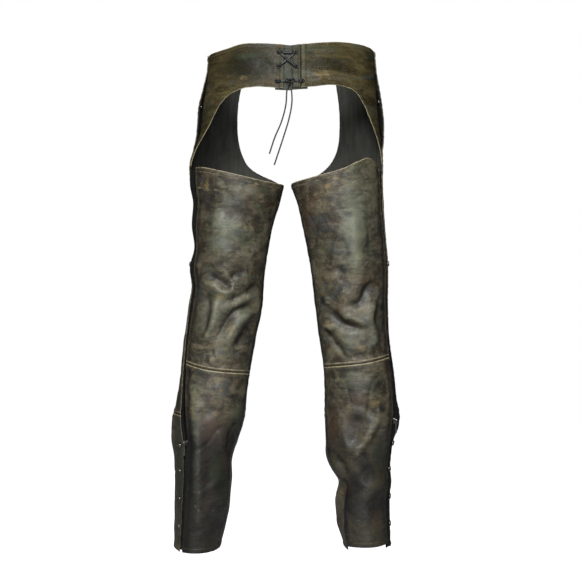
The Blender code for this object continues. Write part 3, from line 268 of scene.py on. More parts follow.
# The folds and creases of the filled-out hide, on its back and on its front: soft troughs (depth below 0) and
# ridges, each on a line through a few places. Each falls off over one width on the left of its run and over
# another on the right, with x, the distance from the middle plane, to the right and height upwards.
# Columns: depth, width on the left, width on the right, places (x, height)
FOLDS = {
    ("left", "back"): (
        # behind the knee: a sagging trough, the lip under it, and three troughs fanning out from the seam
        (-0.0080, 0.010, 0.012, ((0.170, 0.565), (0.150, 0.560), (0.130, 0.545), (0.115, 0.540))),
        (-0.0060, 0.009, 0.010, ((0.120, 0.560), (0.105, 0.570), (0.085, 0.570))),
        (0.0055, 0.008, 0.010, ((0.180, 0.550), (0.160, 0.550), (0.135, 0.535), (0.100, 0.540))),
        (-0.0075, 0.009, 0.008, ((0.125, 0.520), (0.105, 0.520), (0.080, 0.535), (0.060, 0.550))),
        (0.0050, 0.009, 0.009, ((0.115, 0.505), (0.095, 0.515), (0.075, 0.530))),
        (-0.0100, 0.010, 0.011, (
            (0.065, 0.505), (0.095, 0.500), (0.115, 0.485), (0.130, 0.465), (0.145, 0.440),
        )),
        (0.0080, 0.014, 0.013, ((0.070, 0.495), (0.100, 0.475), (0.115, 0.450), (0.130, 0.420))),
        (-0.0090, 0.009, 0.010, ((0.065, 0.490), (0.080, 0.465), (0.095, 0.440), (0.115, 0.415))),
        (0.0035, 0.006, 0.006, ((0.055, 0.520), (0.065, 0.490), (0.080, 0.460))),
        (0.0070, 0.008, 0.011, ((0.150, 0.520), (0.150, 0.490), (0.160, 0.460), (0.175, 0.425))),
        (-0.0080, 0.009, 0.008, ((0.175, 0.535), (0.165, 0.505), (0.170, 0.475), (0.175, 0.445))),
        (-0.0030, 0.012, 0.010, ((0.150, 0.410), (0.175, 0.405))),
        (0.0025, 0.012, 0.012, ((0.140, 0.405), (0.165, 0.390))),
        # the thigh above it
        (0.0035, 0.026, 0.022, ((0.140, 0.720), (0.140, 0.650), (0.130, 0.590))),
        (-0.0035, 0.012, 0.016, ((0.045, 0.660), (0.085, 0.685), (0.150, 0.700))),
        # the calf: a long pleat beside the zip, and a sharp crease where the inner side buckles
        (0.0050, 0.014, 0.013, ((0.190, 0.340), (0.190, 0.260), (0.185, 0.150), (0.185, 0.040))),
        (-0.0045, 0.010, 0.012, ((0.205, 0.300), (0.205, 0.220), (0.205, 0.120))),
        (-0.0035, 0.014, 0.018, ((0.165, 0.270), (0.160, 0.200), (0.165, 0.080))),
        (-0.0075, 0.006, 0.009, (
            (0.100, 0.275), (0.110, 0.260), (0.120, 0.240), (0.125, 0.215), (0.120, 0.190),
        )),
        (0.0040, 0.010, 0.010, ((0.135, 0.255), (0.140, 0.200))),
        (0.0045, 0.011, 0.009, ((0.095, 0.300), (0.105, 0.275), (0.110, 0.240))),
        (-0.0030, 0.012, 0.013, ((0.180, 0.290), (0.150, 0.290), (0.125, 0.280))),
        (0.0030, 0.012, 0.014, ((0.160, 0.150), (0.150, 0.110), (0.135, 0.060))),
    ),
    ("right", "back"): (
        # behind the knee: two troughs that meet in a V, the lip between them, a hooked ridge beside the zip
        (-0.0100, 0.010, 0.009, (
            (0.180, 0.555), (0.160, 0.540), (0.150, 0.520), (0.140, 0.510), (0.110, 0.500),
        )),
        (-0.0095, 0.011, 0.010, ((0.080, 0.500), (0.095, 0.480), (0.115, 0.465), (0.155, 0.460))),
        (0.0060, 0.009, 0.009, ((0.110, 0.490), (0.135, 0.475), (0.160, 0.465))),
        (0.0065, 0.009, 0.010, (
            (0.185, 0.545), (0.175, 0.510), (0.165, 0.480), (0.175, 0.435), (0.150, 0.415),
        )),
        (-0.0050, 0.008, 0.007, ((0.185, 0.530), (0.180, 0.495), (0.180, 0.460))),
        (-0.0065, 0.008, 0.006, ((0.065, 0.455), (0.080, 0.445), (0.095, 0.425), (0.115, 0.405))),
        (0.0050, 0.009, 0.007, ((0.070, 0.465), (0.090, 0.455))),
        (-0.0055, 0.008, 0.009, ((0.060, 0.525), (0.070, 0.500))),
        (0.0045, 0.007, 0.007, ((0.075, 0.525), (0.080, 0.505))),
        (0.0035, 0.006, 0.006, ((0.115, 0.540), (0.095, 0.520))),
        (-0.0045, 0.010, 0.010, ((0.090, 0.585), (0.110, 0.570), (0.105, 0.550))),
        (-0.0045, 0.008, 0.008, ((0.130, 0.405), (0.160, 0.405), (0.190, 0.410))),
        # the thigh above it
        (0.0045, 0.016, 0.012, ((0.135, 0.705), (0.135, 0.630), (0.140, 0.565))),
        (-0.0045, 0.012, 0.010, ((0.160, 0.725), (0.165, 0.650), (0.160, 0.590))),
        (-0.0030, 0.009, 0.009, ((0.050, 0.640), (0.075, 0.645), (0.095, 0.635))),
        # the calf: a deep V closed by a long ridge, and shallower dents down to the hem
        (0.0065, 0.012, 0.014, ((0.180, 0.295), (0.170, 0.260), (0.150, 0.225), (0.125, 0.190))),
        (-0.0050, 0.014, 0.009, ((0.190, 0.265), (0.175, 0.235), (0.150, 0.195))),
        (0.0045, 0.008, 0.010, ((0.105, 0.300), (0.110, 0.240), (0.125, 0.205))),
        (-0.0050, 0.018, 0.016, ((0.140, 0.285), (0.140, 0.250), (0.135, 0.220))),
        (-0.0040, 0.012, 0.013, ((0.155, 0.300), (0.185, 0.295))),
        (-0.0060, 0.009, 0.008, ((0.070, 0.215), (0.090, 0.200), (0.110, 0.175), (0.120, 0.150))),
        (0.0050, 0.010, 0.012, ((0.085, 0.185), (0.100, 0.165), (0.110, 0.145))),
        (-0.0035, 0.013, 0.012, ((0.170, 0.180), (0.155, 0.140))),
        (-0.0035, 0.013, 0.012, ((0.190, 0.120), (0.170, 0.085))),
        (-0.0040, 0.010, 0.010, ((0.110, 0.150), (0.110, 0.090), (0.115, 0.040))),
    ),
    ("left", "front"): (
        (-0.0065, 0.008, 0.009, ((0.075, 0.520), (0.105, 0.500), (0.140, 0.492), (0.175, 0.500))),
        (0.0050, 0.009, 0.010, ((0.080, 0.498), (0.110, 0.480), (0.145, 0.472), (0.180, 0.478))),
        (-0.0060, 0.007, 0.009, ((0.085, 0.470), (0.115, 0.452), (0.150, 0.447))),
        (0.0045, 0.008, 0.008, ((0.125, 0.440), (0.155, 0.430), (0.190, 0.438))),
        (-0.0055, 0.008, 0.007, ((0.100, 0.425), (0.130, 0.412), (0.170, 0.405), (0.200, 0.415))),
        (-0.0040, 0.009, 0.008, ((0.110, 0.380), (0.140, 0.366), (0.175, 0.370))),
        (0.0030, 0.009, 0.009, ((0.120, 0.362), (0.150, 0.350), (0.185, 0.353))),
        (-0.0040, 0.012, 0.010, ((0.080, 0.720), (0.105, 0.690), (0.145, 0.672))),
        (0.0035, 0.012, 0.012, ((0.095, 0.672), (0.125, 0.648), (0.165, 0.636))),
        (-0.0035, 0.010, 0.012, ((0.060, 0.640), (0.085, 0.612), (0.120, 0.600))),
        (0.0030, 0.018, 0.015, ((0.140, 0.620), (0.143, 0.570), (0.138, 0.530))),
        (0.0040, 0.010, 0.012, ((0.185, 0.250), (0.183, 0.180), (0.186, 0.090))),
        (-0.0040, 0.010, 0.010, ((0.160, 0.255), (0.155, 0.190), (0.160, 0.110))),
        (-0.0030, 0.009, 0.009, ((0.130, 0.180), (0.150, 0.160), (0.185, 0.155))),
        (0.0030, 0.009, 0.010, ((0.150, 0.100), (0.158, 0.070), (0.156, 0.035))),
        (-0.0035, 0.008, 0.010, ((0.170, 0.900), (0.150, 0.870), (0.145, 0.830))),
    ),
    ("right", "front"): (
        (-0.0060, 0.008, 0.009, ((0.070, 0.530), (0.100, 0.512), (0.135, 0.506), (0.170, 0.515))),
        (0.0045, 0.009, 0.010, ((0.078, 0.505), (0.108, 0.490), (0.140, 0.484), (0.180, 0.494))),
        (-0.0065, 0.007, 0.009, ((0.095, 0.478), (0.125, 0.462), (0.165, 0.458))),
        (0.0040, 0.008, 0.008, ((0.080, 0.452), (0.110, 0.438), (0.145, 0.436))),
        (-0.0050, 0.008, 0.007, ((0.090, 0.415), (0.125, 0.402), (0.165, 0.400), (0.195, 0.412))),
        (-0.0045, 0.009, 0.008, ((0.105, 0.370), (0.140, 0.355), (0.185, 0.362))),
        (0.0035, 0.009, 0.009, ((0.110, 0.350), (0.145, 0.338), (0.180, 0.342))),
        (-0.0040, 0.012, 0.010, ((0.070, 0.725), (0.100, 0.700), (0.140, 0.688))),
        (0.0035, 0.012, 0.012, ((0.085, 0.690), (0.115, 0.664), (0.150, 0.650))),
        (-0.0030, 0.010, 0.012, ((0.110, 0.628), (0.135, 0.606), (0.170, 0.600))),
        (0.0030, 0.015, 0.018, ((0.125, 0.610), (0.130, 0.575), (0.127, 0.535))),
        (0.0040, 0.010, 0.012, ((0.165, 0.245), (0.160, 0.170), (0.162, 0.080))),
        (-0.0040, 0.010, 0.010, ((0.130, 0.245), (0.132, 0.180), (0.140, 0.120))),
        (-0.0035, 0.009, 0.009, ((0.120, 0.135), (0.145, 0.118), (0.180, 0.120))),
        (0.0030, 0.009, 0.010, ((0.175, 0.090), (0.172, 0.060), (0.176, 0.030))),
        (-0.0035, 0.008, 0.010, ((0.165, 0.905), (0.148, 0.880), (0.140, 0.835))),
    ),
}


def smooth(t):
    """0 to 1 with level ends."""
    t = np.clip(t, 0.0, 1.0)
    return t * t * (3 - 2 * t)


def between(start, end, leaving, arriving, wide, t):
    """A smooth curve from start to end over a width, with its slopes there, at shares t of the way."""
    bend = leaving * (t**3 - 2 * t**2 + t) + arriving * (t**3 - t**2)
    return start * (2 * t**3 - 3 * t**2 + 1) + end * (3 * t**2 - 2 * t**3) + wide * bend


def read(rows, column, at):
    """A column of a table, read at values of its first column, on a smooth curve through the rows."""
    table = np.array(rows, float)
    x, y = table[:, 0], table[:, column]
    slope = np.gradient(y, x)
    at = np.clip(at, x[0], x[-1])
    i = np.clip(np.searchsorted(x, at) - 1, 0, len(x) - 2)
    wide = x[i + 1] - x[i]
    return between(y[i], y[i + 1], slope[i], slope[i + 1], wide, (at - x[i]) / wide)


def section(side, angle, height):
    """Points of the garment's outer face on the given half, before folds."""
    angle, height = np.broadcast_arrays(np.asarray(angle, float), np.asarray(height, float))
    c, s = np.cos(np.radians(angle)), np.sin(np.radians(angle))
    inner, outer = read(LEGS[side], INNER, height), read(LEGS[side], OUTER, height)
    deep = np.where(s > 0, read(DEPTHS, 2, height), read(DEPTHS, 1, height))
    ridge = 1 + NOSE * np.clip(c, 0, None)
    leg_x = SIDES[side] * ((inner + outer) / 2 + (outer - inner) / 2 * c)
    leg_y = np.sign(s) * deep * np.abs(s) ** ridge
    wide = read(HIPS, 1 if side == "left" else 2, height)
    hip_x = HIP_CENTRE + SIDES[side] * wide * c
    hip_y = np.where(s > 0, read(HIPS, 4, height), read(HIPS, 3, height)) * s
    share = smooth((height - HIP_START) / (HIP_FULL - HIP_START))
    x, y = leg_x + (hip_x - leg_x) * share, leg_y + (hip_y - leg_y) * share
    return np.stack([x, y, height - WAIST], axis=-1)


def outward(side, angle, height):
    """The directions square to the outer face."""
    round_it = section(side, angle + 1, height) - section(side, angle - 1, height)
    up_it = section(side, angle, height + 0.006) - section(side, angle, height - 0.006)
    square = np.cross(round_it, up_it) * SIDES[side]
    return square / np.linalg.norm(square, axis=-1, keepdims=True)


def through(places, steps):
    """A smooth curve through the given places, as points."""
    spots = np.array(places, float)
    spots = np.concatenate([2 * spots[:1] - spots[1:2], spots, 2 * spots[-1:] - spots[-2:-1]])
    curve = []
    for a, b, c, d in zip(spots, spots[1:], spots[2:], spots[3:]):
        for t in np.arange(steps) / steps:
            bend = (2 * a - 5 * b + 4 * c - d) * t * t + (3 * b - a - 3 * c + d) * t**3
            curve.append(b + ((c - a) * t + bend) / 2)
    return np.array(curve + [spots[-2]])


def along(line, spots):
    """For each spot: its distance from a line, the share of the line passed there, if it lies on its left."""
    nearest, share = np.full(len(spots), 9.0), np.zeros(len(spots))
    left = np.zeros(len(spots), bool)
    for i, (start, end) in enumerate(zip(line, line[1:])):
        run = end - start
        t = np.clip((spots - start) @ run / (run @ run), 0, 1)
        off = spots - start - t[:, None] * run
        reach = np.hypot(off[:, 0], off[:, 1])
        closer = reach < nearest
        nearest[closer], share[closer] = reach[closer], (i + t[closer]) / (len(line) - 1)
        left[closer] = (run[0] * off[:, 1] - run[1] * off[:, 0])[closer] > 0
    return nearest, share, left


FOLD_FACING = 0.10, 0.45  # how squarely hide lies to a fold's face for it to start to show, and how fast
FOLD_ROOM = 3  # how far from its line a fold still counts, in widths
FOLD_ENDS = 0.3, 0.2  # the share of its run over which a fold fades at each end, and what is left there
NARROW, SHARP, ROUND = 0.024, 1.8, 2  # troughs narrower than this have sharper flanks


def relief(side, point, normal):
    """How far the folds lift or sink the outer face."""
    flat = np.stack([np.abs(point[..., 0]), point[..., 2] + WAIST], axis=-1).reshape(-1, 2)
    total = np.zeros(len(flat))
    for face, facing in (("back", normal[..., 1]), ("front", -normal[..., 1])):
        shown = smooth((facing - FOLD_FACING[0]) / FOLD_FACING[1]).ravel()
        for depth, wide_left, wide_right, places in FOLDS[side, face]:
            line = through(places, 4)
            space = FOLD_ROOM * max(wide_left, wide_right)
            low, high = line.min(axis=0) - space, line.max(axis=0) + space
            near = np.all((flat > low) & (flat < high), axis=1) & (shown > 0)
            reach, share, left = along(line, flat[near])
            wide = np.where(left, wide_left, wide_right)
            curve = SHARP if depth < 0 and wide_left + wide_right < NARROW else ROUND
            fade = smooth(np.minimum(share, 1 - share) / FOLD_ENDS[0] + FOLD_ENDS[1])
            total[near] += depth * fade * shown[near] * np.exp(-((reach / wide) ** curve))
    return total.reshape(point.shape[:-1])


def placed(side, angle, height, out=0.0):
    """Points at the given distance outside the folded outer face."""
    point, normal = section(side, angle, height), outward(side, angle, height)
    return point + normal * (out + relief(side, point, normal))[..., None]


def turn(side, angle, height, distance):
    """The angle that moves a point by a distance round the section."""
    step = section(side, angle + 0.5, height) - section(side, angle - 0.5, height)
    return distance / np.linalg.norm(step, axis=-1)


def back_span(side, height):
    """The angles between which a back panel runs: from the zip to the inner seam."""
    seam = read(LEGS[side], INNER_SEAM, height)
    return read(LEGS[side], BACK_EDGE, height), seam - turn(side, seam, height, SEAM / 2)


def shares(length, coarse=0.0036, band=0.014, fine=0.0012):
    """Shares of a length at which a panel's rows or columns stand, closer together near both ends."""
    near = np.arange(0, band, fine)
    middle = np.linspace(band, length - band, max(int((length - 2 * band) / coarse), 2))
    return np.concatenate([near, middle, length - near[::-1]]) / length


def borders(grid):
    """Distances of a grid's points from its first and last column, and from its first and last row."""
    aside = np.linalg.norm(np.diff(grid, axis=1), axis=-1)
    upward = np.linalg.norm(np.diff(grid, axis=0), axis=-1)
    from_start = np.concatenate([np.zeros((len(grid), 1)), np.cumsum(aside, axis=1)], axis=1)
    from_low = np.concatenate([np.zeros((1, grid.shape[1])), np.cumsum(upward, axis=0)], axis=0)
    return from_start, from_start[:, -1:] - from_start, from_low, from_low[-1:] - from_low


class Panel:
    """A panel's grid on the unfolded form. low and high give the heights of its ends at an angle."""

    def __init__(self, side, span, low, high, across, up):
        share, behind = np.linspace(0, 1, len(up))[:, None], np.full((len(up), len(across)), 90.0)
        height = low(behind) * (1 - share) + high(behind) * share
        for _ in range(7):
            start, end = span(side, height)
            angle = start + (end - start) * across[None, :]
            bottom = low(angle)
            height = bottom + (high(angle) - bottom) * up[:, None]
        self.side, self.angle, self.height, self.point = side, angle, height, section(side, angle, height)
        self.flip = (side == "right") == (angle[0, -1] > angle[0, 0])  # so that its faces point outwards
        self.borders = borders(self.point)


def leather(name, ground, tint, dark, ochre, gloss=0.4, lean=0.0, wiped=(0.9, 0.9, 1.15)):
    """The grain side of distressed hide: wax colours wiped on in streaks, pebble grain, pale rubbed edges, a
    painted highlight on the crests, and painted shade in troughs, creases and along the legs' sides.
    """
    mix = Finish(name)
    where = mix.where()

    def cloud(scale, detail, rough=0.6, distortion=0.0, shift=0.0, stretch=(1, 1, 1)):
        sockets = {"Vector": where, "Location": (shift, shift, 0), "Rotation": (0, lean, 0), "Scale": stretch}
        return mix.noise(mix.node("ShaderNodeMapping", None, sockets), scale, detail, rough, distortion)

    def step(value, low, high):
        sockets = {"Value": value, "From Min": low, "From Max": high}
        return mix.node("ShaderNodeMapRange", {"interpolation_type": "SMOOTHSTEP"}, sockets)

    def carried(attribute):
        return mix.node("ShaderNodeAttribute", {"attribute_name": attribute}, output=2)

    wide, middle = cloud(11, 4, 0.6, 0.5, 1, wiped), cloud(30, 6, 0.68, 0.7, 2, wiped)
    small, fleck, lines = cloud(95, 5), cloud(360, 3), cloud(60, 6, 0.7, 0.3, 7, (0.45, 0.45, 2.6))
    colour = mix.blend(step(middle * 0.75 + lines * 0.25, 0.40, 0.62), ground, tint)
    for value, low, high, strength, code in (  # what lays a colour on, from where to where, how much
        (cloud(22, 6, 0.7, 0.8, 3, wiped), 0.50, 0.68, 0.55, "39422f"),
        (cloud(26, 6, 0.7, 0.8, 4, wiped), 0.52, 0.68, 0.55, "3a444a"),
        (cloud(24, 6, 0.7, 0.9, 8, wiped), 0.54, 0.70, 0.45, "4d3020"),
        (cloud(48, 6, 0.72, 0.4, 6, wiped), 0.56, 0.76, 0.45, ochre),
        (fleck, 0.56, 0.72, 0.25, "8b8069"),
        # grey-green, partly a painted sheen on the thighs and a painted highlight on ridges
        (carried("sage_and_sheen") + (middle + lines - 1) * 1.3, 0.10, 1.1, 0.6, "6a705f"),
        (wide + small * 0.4, 0.66, 0.96, 0.65, dark),
        (lines, 0.56, 0.72, 0.3, dark),
        # dark: dark stains and wax, the calves darker towards the hem, a few marks of painted shade in
        # troughs, and the tongue partly as painted shade
        (carried("dark") + (middle - 0.5) * 1.6, 0.25, 0.9, 0.8, dark),
        (carried("moss") + (middle - 0.5) * 1.2, 0.25, 0.8, 0.7, "2b3124"),
        (carried("rust") + (cloud(26, 6, 0.7, 0.9, 5) - 0.5) * 2.2, 0.1, 1.2, 0.7, "463224"),
        (carried("tan") + (small + lines - 1) * 1.4, 0.25, 1.1, 0.6, "87744f"),
        # deep: near-black painted shade in troughs, creases and along the legs' sides, with the darker knee
        # seams
        (carried("deep") + (middle + small - 1) * 0.8, 0.10, 0.9, 0.9, "0d0e0f"),
        # pale: rubbed edges, and on ridges partly a painted highlight
        (carried("pale") + (small - 0.5) * 1.6, 0.25, 1.0, 0.8, "9a9074"),
    ):
        colour = mix.blend(step(value, low, high) * strength, colour, code)
    cell = mix.node("ShaderNodeTexVoronoi", None, {"Vector": where, "Scale": 620.0, "Randomness": 1.0})
    pebble = step(cell, 0.05, 0.75)
    bump = mix.bump(0.9, pebble * -0.00010 + fleck * 0.00018 + small * 0.0009 + middle * 0.0008)
    rough = 0.43 + step(small, 0.35, 0.7) * 0.12 + pebble * 0.06
    mix.paint(Base_Color=colour, Roughness=rough, Normal=bump, Specular_IOR_Level=gloss)
    return mix.material


def suede(name, colour, streak):
    """The inner side of the hide: matt and dark, with faint streaks down the leg."""
    mix = Finish(name)
    where = mix.where()
    drawn = mix.node("ShaderNodeMapping", None, {"Vector": where, "Scale": (1, 1, 0.12)})
    bump = mix.bump(0.6, mix.noise(where, 900, 2) * 0.0003)
    shade = mix.blend(mix.noise(drawn, 110, 4), colour, streak)
    mix.paint(Base_Color=shade, Roughness=0.85, Normal=bump, Specular_IOR_Level=0.2)
    return mix.material


def mottled(name, first, second, scale, detail, rough, rougher=0.0, raised=0.0, **sockets):
    """A finish of two colours in soft patches; the second may be rougher and stand higher."""
    mix = Finish(name)
    patch = mix.noise(mix.where(), scale, detail)
    mix.paint(Base_Color=mix.blend(patch, first, second))
    mix.paint(Roughness=patch * rougher + rough if rougher else rough)
    if raised:
        mix.paint(Normal=mix.bump(0.6, patch * raised))
    mix.paint(**sockets)
    return mix.material


HIDE_GRAIN = leather("hide_grain", "2e2a21", "615a48", "101112", "7d7050")
HIDE_INSIDE = suede("hide_inside", "252521", "454541")
HIDE_CUT = mottled("hide_cut_edge", "5f553f", "c2b48f", 260, 4, 0.8)  # pale fibres where the hide is cut


def sheet_of(node, kind, grid, flip, finishes, thick, marks):
    """A piece of hide or cloth from its outer points: a wall with finishes outside, inside and at the cut."""
    rows, columns = grid.shape[:2]
    first = (np.arange(rows - 1)[:, None] * columns + np.arange(columns - 1)[None, :]).ravel()
    quads = np.stack([first, first + 1, first + columns + 1, first + columns], axis=-1)
    if flip:
        quads = quads[:, ::-1]
    mesh = bpy.data.meshes.new(node + kind)
    mesh.from_pydata(grid.reshape(-1, 3).tolist(), [], quads.tolist())
    aside, _, up, _ = borders(grid)
    flat = np.stack([aside, up], axis=-1).reshape(-1, 2)
    layer = mesh.uv_layers.new(name="cut")
    layer.uv.foreach_set("vector", flat[quads.ravel()].astype(np.float32).ravel())
    for mark, values in marks.items():
        made = mesh.attributes.new(mark, "FLOAT", "POINT")
        made.data.foreach_set("value", np.broadcast_to(values, (rows, columns)).astype(np.float32).ravel())
    for finish in finishes:
        mesh.materials.append(finish)
    mesh.shade_smooth()
    piece = bpy.data.objects.new(node + kind, mesh)
    room.link(piece)
    wall = piece.modifiers.new("wall", "SOLIDIFY")
    wall.thickness, wall.offset, wall.use_quality_normals = thick, -1, True
    wall.material_offset, wall.material_offset_rim = 1, 2
    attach(piece, "root")
    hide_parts(node)
    return piece


def edge(table, side, gap=0.0):
    """The heights of a panel's end, a gap below a named edge, as a function of the angle."""
    return lambda angle: read(table[side], 1, angle) - gap


def level(height):
    """The heights of a panel's end that is level all round, as a function of the angle."""
    return lambda angle: np.full_like(angle, height)


def bands(*lines):
    """Soft bands along lines, added up. Each: the distance from its line, its half width, its strength."""
    return sum(strength * np.exp(-((distance / wide) ** 2)) for distance, wide, strength in lines)


ZIP_STITCH, TOP_STITCH, TOP_STITCH_LOW = 0.0035, 0.0030, 0.0095  # from an edge to its rows of stitches
KNEE_STITCH, KNEE_RIDGE = 0.0040, 0.0055
ZIP_TURN, EDGE_TURN = 0.009, 0.012  # how far the hide is turned under along the zip, and along open edges
STITCH_RISE = 0.0002  # of a stitch's middle over the hide
FIRST, LAST, LOW, TOP = range(4)  # a grid's borders: its first and last column, its first and last row
sewing = {}  # guide lines for the stitches of each part of the garment: (points, outward directions)


def normals_of(grid, flip):
    """The outward directions at a grid's points."""
    square = np.cross(np.gradient(grid, axis=1), np.gradient(grid, axis=0)) * (-1 if flip else 1)
    return square / np.maximum(np.linalg.norm(square, axis=-1, keepdims=True), 1e-12)


def beside(values, distances, border, target):
    """A grid's values on the line that runs at a distance from one of its borders."""
    if border in (LOW, TOP):
        values, distances = np.swapaxes(values, 0, 1), distances.T
    if border in (LAST, TOP):
        values, distances = values[:, ::-1], distances[:, ::-1]
    found = []
    for row, reach in zip(values, distances):
        if reach[-1] > target:
            found.append([np.interp(target, reach, row[:, part]) for part in range(3)])
    return np.array(found)


def sew(group, grid, flip, *rows, reach=None):
    """Notes rows of stitches. Each: a border, the distance from it, the shares of its way where it ends."""
    reach, square = reach or borders(grid), normals_of(grid, flip)
    for border, distance, *ends in rows:
        points, ways = (beside(values, reach[border], border, distance) for values in (grid, square))
        ways /= np.linalg.norm(ways, axis=-1, keepdims=True)
        start, end = (int(share * len(points)) for share in ends or (0, 1))
        sewing.setdefault(group, []).append(((points + ways * STITCH_RISE)[start:end], ways[start:end]))


TURN_RISE, TURN_STEP = 0.0007, 0.003  # how high a doubled edge stands, and over how far it falls to the hide
EDGE_ROLL, STITCH_DIP = (0.0009, 0.0006), (0.0010, 0.00035)  # half width and depth
SEAM_RISE, SEAM_WIDE, SEAM_FALL = 0.0009, 0.013, 0.006
SEAM_ROLL, SEAM_DIP = (0.0013, 0.0011), (0.0010, 0.0004)
PUCKER_DEEP, PUCKER_WAVE, PUCKER_WIDE = 0.0004, 0.014, 0.011


def ripple(points, length, seed):
    """A soft uneven swell over space, between about -1 and 1, with waves near the given length."""
    rng = np.random.default_rng(seed)
    total = np.zeros(points.shape[:-1])
    for _ in range(7):
        way = rng.normal(size=3)
        way *= rng.uniform(0.6, 1.5) * 2 * math.pi / length / np.linalg.norm(way)
        total += np.sin(points @ way + rng.uniform(0, 2 * math.pi))
    return total / 3


def turned_edge(distance, wide, *lines):
    """An edge turned over and sewn: a doubled band with a soft step, and a dip under each stitch line."""
    dips = bands((distance, *EDGE_ROLL), *((distance - line, *STITCH_DIP) for line in lines))
    return TURN_RISE * smooth((wide - distance) / TURN_STEP) - dips


def seam_edge(distance):
    """An edge sewn to the next panel: it swells over the allowance and rolls in at the seam."""
    dips = bands((distance, *SEAM_ROLL), (distance - KNEE_STITCH, *SEAM_DIP))
    return SEAM_RISE * smooth((SEAM_WIDE - distance) / SEAM_FALL) - dips


def pucker(points, *seams):
    """Small gathers that rows of stitches draw into the hide beside them. Each: the distance, a seed."""
    gathers = [(bands((distance, PUCKER_WIDE, PUCKER_DEEP)), seed) for distance, seed in seams]
    return sum(deep * ripple(points, PUCKER_WAVE, seed) for deep, seed in gathers)
